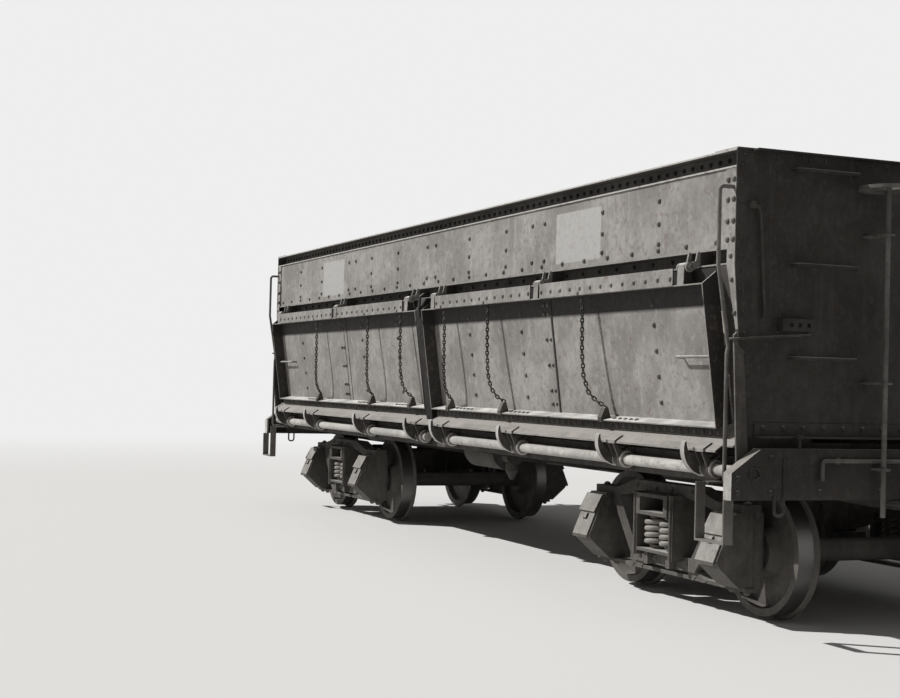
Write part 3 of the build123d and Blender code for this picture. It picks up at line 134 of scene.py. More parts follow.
# noise of each pattern
grain = {
    "blotch": {"detail": 6, "roughness": 0.62},
    "streak": {"detail": 5, "roughness": 0.7, "stretch": (2.6, 2.6, 0.16)},
    "mottle": {"detail": 7, "roughness": 0.72, "stretch": (1.0, 1.0, 0.7)},
    "speck": {"detail": 8, "roughness": 0.75},
    "pit": {"detail": 6, "roughness": 0.7},
    "film": {"detail": 7, "roughness": 0.65},
    "ragged": {"detail": 4, "roughness": 0.6},
}
# where each pattern begins and where it is full
spans = {
    "blotch": (0.36, 0.64),
    "streak": (0.52, 0.72),
    "mottleDark": (0.50, 0.60),
    "mottleLight": (0.46, 0.38),
    # faces turned away from the side: span of the painted shade
    "shelter": (0.85, 0.45),
    "pit": (0.60, 0.68),
    "ragged": (0.30, 0.52),
    "outward": (1.0, 1.3),
    "settled": (0.25, 0.85),
    "film": (0.35, 0.7),
    "rough": (0.3, 0.7),
}
# width of each soft edge
soft = {
    "edge": 0.012,
    "rust": 0.09,
    "seam": 0.003,
    "seamTop": 0.01,
    "castShadow": 0.03,
    "eavesDepth": 0.008,
    "patch": 0.014,
}


def patchMask(tree, look, patch, coords, place, outward):
    ragged = noise(tree, coords, look["raggedScale"], **grain["ragged"])
    wander = times(tree, ragged, look["patchWander"])
    x0, x1, z0, z1 = patch
    inside = []
    for axis, low, high in ((0, x0, x1), (2, z0, z1)):
        value = joinMath(tree, "ADD", place[axis], wander, clamp=False)
        inside.append(within(tree, value, low, high, soft["patch"]))
    mask = times(tree, *inside)
    mask = times(tree, mask, remap(tree, ragged, spans["ragged"], *look["patchCover"]))
    return times(tree, mask, remap(tree, outward, spans["outward"]))


def steel(name, look):
    material = bpy.data.materials.new(name)
    material.use_nodes = True
    tree = material.node_tree
    shader = tree.nodes["Principled BSDF"]
    own = nodeOf(tree, "ShaderNodeTexCoord")
    coords = own.outputs["Object"]
    facing = splitOf(tree, own.outputs["Normal"])
    place = splitOf(tree, coords)

    blotch = noise(tree, coords, look["blotchScale"], **grain["blotch"])
    colour = layer(tree, look["dark"], look["light"], remap(tree, blotch, spans["blotch"]))
    streak = noise(tree, coords, look["streakScale"], **grain["streak"])
    streaked = remap(tree, streak, spans["streak"], 0.0, look["streakAmount"])
    colour = layer(tree, colour, look["streak"], streaked)
    mottle = noise(tree, coords, look["mottleScale"], **grain["mottle"])
    for tint, span in (("dark", "mottleDark"), ("streak", "mottleLight")):
        mottled = remap(tree, mottle, spans[span], 0.0, look["mottleAmount"])
        colour = layer(tree, colour, look[tint], mottled)
    # painted shade: faces that do not look out sideways are darkened to the shade colour
    sheltered = remap(tree, absolute(tree, facing[1]), spans["shelter"], 0.0, look["shelter"])
    colour = layer(tree, colour, look["shade"], sheltered)
    # pale edge colour: a painted highlight on the lit flange edges of chords and rails, the lip's
    # own paint on the floor
    if look["edgeFrom"]:
        edgeSpan = (look["edgeFrom"], look["edgeFrom"] + soft["edge"])
        edge = remap(tree, absolute(tree, place[1]), edgeSpan)
        colour = layer(tree, colour, look["edge"], times(tree, edge, look["edgeAmount"]))
    speck = noise(tree, coords, look["speckScale"], **grain["speck"])
    rust = remap(tree, speck, (look["rustFrom"], look["rustFrom"] + soft["rust"]))
    colour = layer(tree, colour, look["rust"], times(tree, rust, look["rustAmount"]))
    pit = noise(tree, coords, look["speckScale"] * look["pitRatio"], **grain["pit"])
    pitted = remap(tree, pit, spans["pit"], 0.0, look["pitAmount"])
    colour = layer(tree, colour, look["pit"], pitted)
    # painted shadow along a lapped joint between two sheets
    if look["seam"]:
        gap = within(tree, absolute(tree, place[0]), *look["seam"], soft["seam"])
        under = remap(tree, place[2], (look["seamTop"], look["seamTop"] - soft["seamTop"]))
        colour = layer(tree, colour, look["castShadow"], times(tree, gap, under))
    # painted shadow on a door below its top flange
    if look["eavesFrom"]:
        above = remap(tree, place[2], (look["eavesFrom"] - soft["castShadow"], look["eavesFrom"]))
        depthSpan = (look["eavesDepth"], look["eavesDepth"] - soft["eavesDepth"])
        behind = remap(tree, absolute(tree, place[1]), depthSpan)
        colour = layer(tree, colour, look["castShadow"], times(tree, above, behind))
    if look["patches"]:
        # the patches show only on faces that look away from the middle
        outward = joinMath(tree, "MULTIPLY", facing[1], place[1], clamp=False)
        for patch in look["patches"]:
            mask = patchMask(tree, look, patch, coords, place, outward)
            colour = layer(tree, colour, look["patch"], mask)
    film = noise(tree, coords, look["filmScale"], **grain["film"])
    film = remap(tree, film, spans["film"], *look["filmCover"])
    settled = remap(tree, facing[2], spans["settled"], 0.0, look["dustOnTop"])
    splashSpan = (look["splashHigh"], look["splashLow"])
    splash = remap(tree, place[2], splashSpan, 0.0, look["splashAmount"])
    for cover in (settled, splash):
        colour = layer(tree, colour, look["dust"], times(tree, cover, film))
    tree.links.new(colour, shader.inputs["Base Color"])

    rough = remap(tree, speck, spans["rough"], look["roughLow"], look["roughHigh"])
    tree.links.new(rough, shader.inputs["Roughness"])
    shader.inputs["Metallic"].default_value = look["metallic"]
    shader.inputs["Specular IOR Level"].default_value = look["specular"]
    relief = None
    for kind, height in (("bump", speck), ("hammered", mottle)):
        bump = nodeOf(tree, "ShaderNodeBump")
        bump.inputs["Strength"].default_value = look[kind]
        bump.inputs["Distance"].default_value = look[kind + "Depth"]
        tree.links.new(height, bump.inputs["Height"])
        if relief:
            tree.links.new(relief, bump.inputs["Normal"])
        relief = bump.outputs["Normal"]
    tree.links.new(relief, shader.inputs["Normal"])
    return material


baseLook = {
    "dark": (0.175, 0.166, 0.155),
    "light": (0.275, 0.263, 0.248),
    "streak": (0.345, 0.332, 0.314),
    "streakScale": 5.0,
    "streakAmount": 0.45,
    # painted shade colour for faces turned away from the side
    "shade": (0.070, 0.065, 0.060),
    "shelter": 0.75,
    "edge": (0.20, 0.19, 0.178),
    "edgeFrom": 0.0,  # half width from which a face gets the edge colour, 0 for none: a painted highlight on lit flange edges, the lip's own paint on the floor
    "edgeAmount": 0.8,
    # painted shadow colour, under the door flange and along sheet joints
    "castShadow": (0.030, 0.028, 0.026),
    "eavesFrom": 0.0,  # height from which a door gets the painted shadow under its flange, 0 for none
    "eavesDepth": 1.552,
    "seam": (),  # painted shadow along the lapped joint of two sheets, between two places along the wagon
    "seamTop": up(2.05),
    "patch": (0.36, 0.35, 0.335),
    "patches": (),  # repainted places: from and to along the wagon, from and to in height
    "patchWander": 0.02,
    "patchCover": (0.62, 0.92),
    "raggedScale": 26.0,
    "blotchScale": 1.9,
    "speckScale": 21.0,
    "mottleScale": 15.0,
    "mottleAmount": 0.42,
    "hammered": 0.22,
    "hammeredDepth": 0.010,
    "rust": (0.150, 0.108, 0.082),
    "rustFrom": 0.53,
    "rustAmount": 0.55,
    "pit": (0.075, 0.065, 0.058),
    "pitRatio": 2.3,
    "pitAmount": 0.5,
    "dust": (0.40, 0.375, 0.34),
    "dustOnTop": 0.8,
    "filmScale": 3.1,
    "filmCover": (0.45, 1.0),
    "splashHigh": 1.1,
    "splashLow": 0.2,
    "splashAmount": 0.25,
    "roughLow": 0.62,
    "roughHigh": 0.85,
    "metallic": 0.0,
    "specular": 0.18,
    "bump": 0.25,
    "bumpDepth": 0.004,
}


def lookOf(**changes):
    look = dict(baseLook)
    look.update(changes)
    return look


looks = {
    "side_paint": lookOf(),
    # doors: real paint, with painted shadow under the top flange and along the sheet joint, and
    # near-black painted shade on faces turned away from the side
    "door_paint_and_shadow": lookOf(
        eavesFrom=up(1.965), seam=(2.372, 2.402), shelter=0.95, shade=(0.034, 0.031, 0.029),
        dust=(0.72, 0.70, 0.66), dustOnTop=1.0, splashAmount=0.0,
    ),
    # near-black copy of the paint: painted shade on the middle posts
    "post_shade_paint": lookOf(
        dark=(0.011, 0.010, 0.009), light=(0.024, 0.022, 0.020), streak=(0.035, 0.032, 0.029),
        rust=(0.026, 0.020, 0.016), specular=0.1, dustOnTop=0.5, splashAmount=0.05, shelter=0.0,
    ),
    # darker copy of the paint for rivet heads: painted shade for the shadows round them
    "rivet_shade_paint": lookOf(
        dark=(0.055, 0.051, 0.047), light=(0.12, 0.113, 0.105), streak=(0.15, 0.142, 0.132),
        shelter=0.0,
    ),
    # dark copy of the paint for the hinge rails: painted shade in their recess, with a painted
    # highlight on the lit flange edge
    "rail_shade_highlight": lookOf(
        dark=(0.040, 0.037, 0.034), light=(0.075, 0.070, 0.064), streak=(0.10, 0.094, 0.086),
        rust=(0.06, 0.047, 0.038), edgeFrom=1.440, edge=(0.30, 0.288, 0.27),
    ),
    # dark copy of the paint for the top chords: painted shade on the recessed web, with a painted
    # highlight on the lit lower flange edge
    "chord_shade_highlight": lookOf(
        dark=(0.052, 0.049, 0.045), light=(0.098, 0.092, 0.085), streak=(0.13, 0.122, 0.112),
        rust=(0.07, 0.055, 0.045), edgeFrom=1.440, edge=(0.46, 0.445, 0.42),
        dust=(0.50, 0.48, 0.45),
    ),
    # pale finish for the journal box lids: dust, and painted sunlight on faces that look up
    "dusty_sunlit_iron": lookOf(
        dark=(0.13, 0.122, 0.112), light=(0.27, 0.256, 0.238), streak=(0.36, 0.345, 0.322),
        rust=(0.10, 0.075, 0.060), bump=0.5, speckScale=30.0, shelter=0.0,
    ),
    "side_panel": lookOf(
        patches=((2.45, 3.15, up(2.345), up(2.725)), (-3.10, -2.40, up(2.345), up(2.725))),
    ),
    # near-black copy of the body paint: painted shade on the ends, which stand out of the sun
    "end_paint": lookOf(
        dark=(0.024, 0.022, 0.020), light=(0.046, 0.043, 0.039), streak=(0.062, 0.058, 0.053),
        rust=(0.050, 0.036, 0.028), dustOnTop=0.85, shelter=0.0,
    ),
    "floor_plate": lookOf(
        dark=(0.16, 0.125, 0.10), light=(0.26, 0.215, 0.175), streak=(0.32, 0.28, 0.23),
        rustAmount=0.7, dustOnTop=0.45, roughLow=0.45, shelter=0.0,
        edge=(0.29, 0.28, 0.262), edgeFrom=1.37,
    ),
    "frame_paint": lookOf(
        dark=(0.034, 0.031, 0.028), light=(0.068, 0.063, 0.057), streak=(0.09, 0.084, 0.077),
        rust=(0.06, 0.046, 0.037), dustOnTop=0.7, splashAmount=0.25, shelter=0.0,
    ),
    "bar_paint": lookOf(
        dark=(0.070, 0.065, 0.059), light=(0.14, 0.132, 0.122), streak=(0.18, 0.17, 0.158),
        rust=(0.075, 0.056, 0.044), dustOnTop=0.6, specular=0.3, shelter=0.0,
    ),
    "worn_bar": lookOf(
        dark=(0.30, 0.288, 0.27), light=(0.46, 0.445, 0.42), streak=(0.52, 0.505, 0.48),
        rustAmount=0.5, dustOnTop=0.8, roughLow=0.5, roughHigh=0.75, shelter=0.0,
    ),
    "chain": lookOf(
        dark=(0.034, 0.031, 0.028), light=(0.085, 0.079, 0.072), streak=(0.10, 0.094, 0.086),
        rust=(0.065, 0.048, 0.039), dustOnTop=0.5, roughLow=0.5, shelter=0.0,
    ),
    "cast_iron": lookOf(
        dark=(0.040, 0.036, 0.032), light=(0.090, 0.083, 0.075), streak=(0.12, 0.11, 0.10),
        rust=(0.07, 0.053, 0.042), bump=0.5, speckScale=34.0, dustOnTop=0.75, shelter=0.0,
    ),
    "truck_iron": lookOf(
        dark=(0.036, 0.033, 0.029), light=(0.080, 0.074, 0.066), streak=(0.11, 0.102, 0.093),
        rust=(0.07, 0.053, 0.042), bump=0.5, speckScale=30.0, dust=(0.52, 0.50, 0.465),
        dustOnTop=0.85, splashHigh=0.8, splashAmount=0.10, shelter=0.0,
    ),
    "spring_steel": lookOf(
        dark=(0.11, 0.102, 0.092), light=(0.20, 0.189, 0.173), streak=(0.23, 0.218, 0.20),
        rustAmount=0.4, dustOnTop=0.6, roughLow=0.5, roughHigh=0.75, shelter=0.0,
    ),
    "wheel_steel": lookOf(
        dark=(0.036, 0.032, 0.029), light=(0.075, 0.069, 0.062), streak=(0.09, 0.083, 0.075),
        rust=(0.06, 0.046, 0.037), dustOnTop=0.3, splashAmount=0.15, roughLow=0.5, shelter=0.0,
    ),
}
materials = {slot: steel(slot, look) for slot, look in looks.items()}


treadLook = {"colour": (0.13, 0.126, 0.12), "rough": 0.42, "metallic": 0.9}


def treadMaterial():
    material = materials["wheel_steel"].copy()
    material.name = "wheel_tread"
    shader = material.node_tree.nodes["Principled BSDF"]
    shader.inputs["Metallic"].default_value = treadLook["metallic"]
    for link in list(material.node_tree.links):
        if link.to_socket in (shader.inputs["Base Color"], shader.inputs["Roughness"]):
            material.node_tree.links.remove(link)
    shader.inputs["Base Color"].default_value = (*treadLook["colour"], 1.0)
    shader.inputs["Roughness"].default_value = treadLook["rough"]
    return material


# the chords, hinge rails and middle posts take dark copies of the paint as painted shade
finishOf = {
    "side_sheets": "side_panel",
    "top_chords": "chord_shade_highlight",
    "hinge_rails": "rail_shade_highlight",
    "mid_posts": "post_shade_paint",
}
doorNames = [f"door_{side}_{end}" for side in sides for end in ends]
slotOf = {part["node"]: part["material_slot"] for part in frame["record"]["subparts"]}
for name, body in nodes.items():
    slot = slotOf[name]
    chosen = finishOf.get(name, "door_paint_and_shadow" if name in doorNames else slot)
    body.data.materials.clear()
    body.data.materials.append(materials[chosen])


def refinish(name, finish, test):
    data = nodes[name].data
    data.materials.append(materials[finish])
    for face in data.polygons:
        corners = [data.vertices[index].co for index in face.vertices]
        if test(corners, face.normal):
            face.material_index = len(data.materials) - 1


# places that part one finish from another on the same node
finishBounds = {
    "lever": 4.834,
    "floorLip": 1.395,
    "closingEnd": 4.70,
    "lugs": (0.459, 1.532, 3.198),
    "lugHalf": 0.0285,
    "lugLow": up(1.20),
    "lugHigh": up(1.33),
    "legFaces": (1.365, 1.392),
    "legHigh": up(1.24),
    "cap": 1.42,
    "capLow": up(1.067),
    "shaft": (1.385, up(0.962)),
    "hub": 0.062,
    "boxLow": up(0.25),
    "boxSlope": 0.15,
    "sillEnd": 1.50,
    "square": 0.9,
}


def beyond(axis, limit):
    return lambda corners, normal: all(abs(c[axis]) > finishBounds[limit] for c in corners)


def onLug(corners, normal):
    for lug in finishBounds["lugs"]:
        if all(abs(abs(c.x) - lug) < finishBounds["lugHalf"] for c in corners):
            return all(finishBounds["lugLow"] < c.z < finishBounds["lugHigh"] for c in corners)
    return False


def onHookSide(corners, normal):
    if abs(normal.x) < finishBounds["square"]:
        return False
    axisY, axisZ = finishBounds["shaft"]
    return any(math.hypot(abs(c.y) - axisY, c.z - axisZ) > finishBounds["hub"] for c in corners)


def onDoorLeg(corners, normal):
    if abs(normal.y) <= finishBounds["square"]:
        return False
    low, high = finishBounds["legFaces"]
    return all(low < abs(c.y) < high and c.z < finishBounds["legHigh"] for c in corners)


def onBearingCap(corners, normal):
    return all(abs(c.y) > finishBounds["cap"] and c.z > finishBounds["capLow"] for c in corners)


def onBoxLid(corners, normal):
    lowest = min(c.z for c in corners)
    return normal.z > finishBounds["boxSlope"] and lowest > finishBounds["boxLow"]


def onClosingPlate(corners, normal):
    return any(abs(c.x) < finishBounds["closingEnd"] for c in corners)


for sideName in sides:
    refinish(f"floor_{sideName}", "side_paint", beyond(1, "floorLip"))
    for endName in ends:
        refinish(f"lock_shaft_{sideName}_{endName}", "bar_paint", beyond(0, "lever"))
        # painted shade: the hooks' flat sides, facing along the wagon, take the dark cast iron
        refinish(f"lock_shaft_{sideName}_{endName}", "cast_iron", onHookSide)
        refinish(f"door_{sideName}_{endName}", "cast_iron", onLug)
        # painted shade: the door's foot leg under the ledge takes the dark frame paint
        refinish(f"door_{sideName}_{endName}", "frame_paint", onDoorLeg)
for endName in ends:
    # box lid faces looking up: dust and painted sunlight
    refinish(f"truck_{endName}_journal_boxes", "dusty_sunlit_iron", onBoxLid)
refinish("end_sills", "worn_bar", beyond(1, "sillEnd"))
refinish("shaft_bearings", "side_paint", onBearingCap)
# painted shade: the closing plate behind the corner strip takes the dark frame paint
refinish("corner_posts", "frame_paint", onClosingPlate)

wheelSettings = {"tread": (0.39235, 0.426), "rim": (0.711, 0.826), "level": 0.3}
tread = treadMaterial()
for name, body in nodes.items():
    if name.startswith("wheelset"):
        body.data.materials.append(tread)
        low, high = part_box(name)
        centreX = (low.x + high.x) / 2
        centreZ = (low.z + high.z) / 2
        for face in body.data.polygons:
            middle = face.center
            reach = math.hypot(middle.x - centreX, middle.z - centreZ)
            onRim = wheelSettings["rim"][0] < abs(middle.y) < wheelSettings["rim"][1]
            onTread = wheelSettings["tread"][0] < reach < wheelSettings["tread"][1]
            if abs(face.normal.y) < wheelSettings["level"] and onRim and onTread:
                face.material_index = 1
print("stage materials done")

# small helpers


def placed(name, data):
    item = bpy.data.objects.new(name, data)
    bpy.context.scene.collection.objects.link(item)
    return item


def linkMesh(name, mesh, material, body):
    piece = placed(name, mesh)
    if not mesh.materials:
        mesh.materials.append(material)
    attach(piece, body)
    return piece


def meshFrom(holder, name):
    bpy.context.view_layer.update()
    solid = holder.evaluated_get(bpy.context.evaluated_depsgraph_get())
    mesh = bpy.data.meshes.new_from_object(solid)
    mesh.name = name
    return mesh


def evaluated(source, group, values, name):
    modifier = source.modifiers.new("spread", "NODES")
    modifier.node_group = group
    for item in group.interface.items_tree:
        if item.item_type == "SOCKET" and item.in_out == "INPUT" and item.name in values:
            modifier[item.identifier] = values[item.name]
    result = meshFrom(source, name)
    source.modifiers.remove(modifier)
    bpy.data.objects.remove(source)
    return result


def pointCloud(name, points):
    mesh = bpy.data.meshes.new(name)
    mesh.from_pydata([p[0] for p in points], [], [])
    facing = mesh.attributes.new("facing", "FLOAT_VECTOR", "POINT")
    facing.data.foreach_set("vector", [value for p in points for value in p[1]])
    size = mesh.attributes.new("size", "FLOAT", "POINT")
    size.data.foreach_set("value", [p[2] for p in points])
    return placed(name, mesh)


def groupOf(name, numbers):
    group = bpy.data.node_groups.new(name, "GeometryNodeTree")
    sockets = group.interface
    sockets.new_socket("Geometry", in_out="INPUT", socket_type="NodeSocketGeometry")
    for label, kind in numbers.items():
        sockets.new_socket(label, in_out="INPUT", socket_type="NodeSocket" + kind)
    sockets.new_socket("Finish", in_out="INPUT", socket_type="NodeSocketMaterial")
    sockets.new_socket("Geometry", in_out="OUTPUT", socket_type="NodeSocketGeometry")
    return group


def closeGroup(group, entry, instances):
    real = nodeOf(group, "GeometryNodeRealizeInstances")
    group.links.new(instances, real.inputs["Geometry"])
    smooth = nodeOf(group, "GeometryNodeSetShadeSmooth")
    group.links.new(real.outputs["Geometry"], smooth.inputs["Geometry"])
    paint = nodeOf(group, "GeometryNodeSetMaterial")
    group.links.new(smooth.outputs["Geometry"], paint.inputs["Geometry"])
    group.links.new(entry.outputs["Finish"], paint.inputs["Material"])
    leave = nodeOf(group, "NodeGroupOutput")
    group.links.new(paint.outputs["Geometry"], leave.inputs[0])


rivetShape = {"rings": 6, "cutBelow": -0.001}


def rivetGroup():
    numbers = {"Head Radius": "Float", "Head Height": "Float", "Segments": "Int"}
    group = groupOf("rivetHeads", numbers)
    entry = nodeOf(group, "NodeGroupInput")
    ball = nodeOf(group, "GeometryNodeMeshUVSphere")
    ball.inputs["Rings"].default_value = rivetShape["rings"]
    group.links.new(entry.outputs["Segments"], ball.inputs["Segments"])
    group.links.new(entry.outputs["Head Radius"], ball.inputs["Radius"])
    place = nodeOf(group, "GeometryNodeInputPosition")
    parts = nodeOf(group, "ShaderNodeSeparateXYZ")
    group.links.new(place.outputs[0], parts.inputs[0])
    below = nodeOf(group, "FunctionNodeCompare", data_type="FLOAT", operation="LESS_THAN")
    group.links.new(parts.outputs[2], below.inputs[0])
    below.inputs[1].default_value = rivetShape["cutBelow"]
    half = nodeOf(group, "GeometryNodeDeleteGeometry", domain="POINT")
    group.links.new(ball.outputs["Mesh"], half.inputs["Geometry"])
    group.links.new(below.outputs[0], half.inputs["Selection"])
    squash = nodeOf(group, "ShaderNodeCombineXYZ")
    squash.inputs[0].default_value = 1.0
    squash.inputs[1].default_value = 1.0
    group.links.new(entry.outputs["Head Height"], squash.inputs[2])
    flat = nodeOf(group, "GeometryNodeTransform")
    group.links.new(half.outputs["Geometry"], flat.inputs["Geometry"])
    group.links.new(squash.outputs[0], flat.inputs["Scale"])
    facing = nodeOf(group, "GeometryNodeInputNamedAttribute", data_type="FLOAT_VECTOR")
    facing.inputs["Name"].default_value = "facing"
    size = nodeOf(group, "GeometryNodeInputNamedAttribute", data_type="FLOAT")
    size.inputs["Name"].default_value = "size"
    turn = nodeOf(group, "FunctionNodeAlignRotationToVector", axis="Z")
    group.links.new(facing.outputs["Attribute"], turn.inputs["Vector"])
    spread = nodeOf(group, "GeometryNodeInstanceOnPoints")
    group.links.new(entry.outputs["Geometry"], spread.inputs["Points"])
    group.links.new(flat.outputs["Geometry"], spread.inputs["Instance"])
    group.links.new(turn.outputs["Rotation"], spread.inputs["Rotation"])
    group.links.new(size.outputs["Attribute"], spread.inputs["Scale"])
    closeGroup(group, entry, spread.outputs["Instances"])
    return group


rivetHeads = rivetGroup()


def rivets(name, points, body, slot, radius=0.020, height=0.68, segments=10, finish=None):
    holder = pointCloud(name + "Points", points)
    values = {
        "Head Radius": radius,
        "Head Height": height,
        "Segments": segments,
        "Finish": materials[finish or slot],
    }
    mesh = evaluated(holder, rivetHeads, values, name)
    return linkMesh(name, mesh, materials[slot], body)


def row(start, stop, count):
    return [start + (stop - start) * step / (count - 1) for step in range(count)]


def evenly(start, stop, pitch):
    return row(start, stop, max(2, round(abs(stop - start) / pitch) + 1))


# rivets of the body

bodyRivets = {
    "panelColumns": (0.838, 1.570, 3.156, 3.920),
    "panelRows": (up(2.660), up(2.510), up(2.380)),
    "pairs": (0.10, 2.046, 2.253),
    "cornerColumns": (4.732, 4.792),
    "cornerRows": (up(2.705), up(2.585), up(2.455), up(2.345)),
    "leaningStrip": (
        (4.777, 1.452, up(2.245)),
        (4.782, 1.4445, up(2.105)),
        (4.794, 1.4275, up(1.905)),
    ),
    "small": 0.9,
    "lowRow": up(2.338),
    "lowReach": 4.6,
    "lowPitch": 0.345,
    "chordPitch": 0.105,
    "railPitch": 0.25,
    "sideFace": 1.440,
    "stripFace": 1.448,
    "webFace": 1.357,
    "chordRivets": up(2.842),
    "railRivets": up(2.262),
    "halfLength": 4.827,
    "edgeInset": 0.12,
}
points = []
for side in sides.values():
    outward = (0, side, 0)
    face = side * bodyRivets["sideFace"]
    for x in bodyRivets["panelColumns"]:
        for z in bodyRivets["panelRows"]:
            points += [((sign * x, face, z), outward, 1.0) for sign in (1, -1)]
    for x in bodyRivets["pairs"]:
        for z in bodyRivets["panelRows"][::2]:
            points += [((sign * x, face, z), outward, 1.0) for sign in (1, -1)]
    strip = side * bodyRivets["stripFace"]
    for x in bodyRivets["cornerColumns"]:
        for z in bodyRivets["cornerRows"]:
            points += [((sign * x, strip, z), outward, 1.0) for sign in (1, -1)]
    for x, y, z in bodyRivets["leaningStrip"]:
        points += [((sign * x, side * y, z), outward, bodyRivets["small"]) for sign in (1, -1)]
    for x in evenly(-bodyRivets["lowReach"], bodyRivets["lowReach"], bodyRivets["lowPitch"]):
        points.append(((x, face, bodyRivets["lowRow"]), outward, 1.0))
# rivet heads darkened as painted shade
rivets("bodyRivets", points, "wagon_body", "side_paint", finish="rivet_shade_paint")
points = []
reach = bodyRivets["halfLength"] - bodyRivets["edgeInset"]
for side in sides.values():
    web = side * bodyRivets["webFace"]
    for line, pitch in (("chordRivets", "chordPitch"), ("railRivets", "railPitch")):
        for x in evenly(-reach, reach, bodyRivets[pitch]):
            points.append(((x, web, bodyRivets[line]), (0, side, 0), bodyRivets["small"]))
# the rivets in the recessed webs take the same near-black painted shade
rivets("railRivets", points, "wagon_body", "side_paint", finish="post_shade_paint")

# rivets of the doors

doorRivets = {
    "near": 0.078,
    "far": 4.640,
    "columns": (0.85, 1.85, 3.85),
    "seam": (-0.112, -0.042),  # on the same side of the joint in both halves
    "seamLine": 2.388,
    "seamProud": 0.004,
    "seamSize": 0.85,
    "rows": (up(1.993), up(1.858), up(1.690), up(1.523), up(1.355)),
    "seamRows": (up(1.31), up(1.41), up(1.60), up(1.79), up(1.98), up(2.045)),
    "legRows": up(2.128),
    "legPitch": 0.157,
    "legFace": 1.5555,
    "staples": (0.528, 1.421, 3.036),
    "stapleRow": up(2.096),
    "stapleSize": 0.95,
    "hinges": (0.320, 2.350, 4.380),
    "notch": 0.110,
    "footRow": up(1.184),
    "footFace": 1.386,
    "footPitch": 0.09,
    "footInset": 0.05,
    "footSize": 0.8,
    "lugs": (0.459, 1.532, 3.198),
    "lugRow": (0.12, 0.42, 5),
    "lugRowPlace": (1.40, up(1.2315)),
    "lugRowFacing": (0.26, 0.966),
    "lugRowSize": 0.75,
    "plateTop": (1.459, up(2.185)),
    "plateFoot": (1.330, up(1.245)),
    "sheet": 0.008,
}
plateRun = (
    doorRivets["plateTop"][0] - doorRivets["plateFoot"][0],
    doorRivets["plateTop"][1] - doorRivets["plateFoot"][1],
)
plateLength = math.hypot(*plateRun)
plateNormal = (plateRun[1] / plateLength, -plateRun[0] / plateLength)


def doorFace(z, proud=0.0):
    share = (z - doorRivets["plateFoot"][1]) / plateRun[1]
    y = doorRivets["plateFoot"][0] + share * plateRun[0]
    out = doorRivets["sheet"] / 2 + proud
    return y + plateNormal[0] * out, z + plateNormal[1] * out


for sideName, side in sides.items():
    outward = (0, side, 0)
    slant = (0, side * plateNormal[0], plateNormal[1])
    legFace = side * doorRivets["legFace"]
    footFace = side * doorRivets["footFace"]
    lugY, lugZ = doorRivets["lugRowPlace"]
    lugOut, lugUp = doorRivets["lugRowFacing"]
    for endName, end in ends.items():
        points = []
        for x in doorRivets["columns"]:
            for z in doorRivets["rows"]:
                y, zFace = doorFace(z)
                points.append(((end * x, side * y, zFace), slant, 1.0))
        seamLine = end * doorRivets["seamLine"]
        for z in doorRivets["seamRows"]:
            for offset in doorRivets["seam"]:
                y, zFace = doorFace(z, doorRivets["seamProud"])
                points.append(((seamLine + offset, side * y, zFace), slant, doorRivets["seamSize"]))
        for low, high in zip(doorRivets["hinges"][:-1], doorRivets["hinges"][1:]):
            notch = doorRivets["notch"]
            for x in evenly(low + notch, high - notch, doorRivets["legPitch"]):
                points.append(((end * x, legFace, doorRivets["legRows"]), outward, 1.0))
        for x in doorRivets["staples"]:
            place = (end * x, legFace, doorRivets["stapleRow"])
            points.append((place, outward, doorRivets["stapleSize"]))
        footFrom = doorRivets["near"] + doorRivets["footInset"]
        footTo = doorRivets["far"] - doorRivets["footInset"]
        for x in evenly(footFrom, footTo, doorRivets["footPitch"]):
            place = (end * x, footFace, doorRivets["footRow"])
            points.append((place, outward, doorRivets["footSize"]))
        first, last, count = doorRivets["lugRow"]
        for lug in doorRivets["lugs"]:
            for x in row(lug + first, lug + last, count):
                facing = (0, side * lugOut, lugUp)
                points.append(((end * x, side * lugY, lugZ), facing, doorRivets["lugRowSize"]))
        # rivet heads darkened as painted shade
        rivets(
            f"doorRivets_{sideName}_{endName}",
            points,
            f"door_{sideName}_{endName}",
            "side_paint",
            finish="rivet_shade_paint",
        )

# rivets of the ends and the floor

endRivets = {
    "face": 4.828,
    "cornerY": 1.415,
    "small": 0.6,
    "pitch": 0.115,
    "topRow": up(2.845),
    "topReach": 1.40,
    "footRow": up(1.224),
    "footReach": 1.24,
    "footPitch": 0.145,
    "footFace": 4.837,
    "footSize": 0.9,
    "upperColumn": (up(2.24), up(2.78)),
    "lowerColumn": (up(1.30), up(2.15)),
    "lowerY": 1.36,
    "lean": 0.045,
    "sillFace": 4.945,
    "sillBolts": (
        (1.478, up(0.845)),
        (1.478, up(0.93)),
        (1.25, up(0.845)),
        (1.25, up(1.05)),
        (0.9, up(0.85)),
        (0.45, up(0.85)),
    ),
}
points = []
for end in ends.values():
    outward = (end, 0, 0)
    face = end * endRivets["face"]
    sillFace = end * endRivets["sillFace"]
    small = endRivets["small"]
    for y in evenly(-endRivets["topReach"], endRivets["topReach"], endRivets["pitch"]):
        points.append(((face, y, endRivets["topRow"]), outward, small))
    for y in evenly(-endRivets["footReach"], endRivets["footReach"], endRivets["footPitch"]):
        place = (end * endRivets["footFace"], y, endRivets["footRow"])
        points.append((place, outward, endRivets["footSize"]))
    for z in evenly(*endRivets["upperColumn"], endRivets["pitch"]):
        points += [((face, side * endRivets["cornerY"], z), outward, small) for side in (1, -1)]
    for z in evenly(*endRivets["lowerColumn"], endRivets["pitch"]):
        y = endRivets["lowerY"] + (z - endRivets["lowerColumn"][0]) * endRivets["lean"]
        points += [((face, side * y, z), outward, small) for side in (1, -1)]
    for y, z in endRivets["sillBolts"]:
        points += [((sillFace, side * y, z), outward, 1.0) for side in (1, -1)]
# the end rivets share the ends' painted shade
rivets("endRivets", points, "wagon_body", "end_paint")

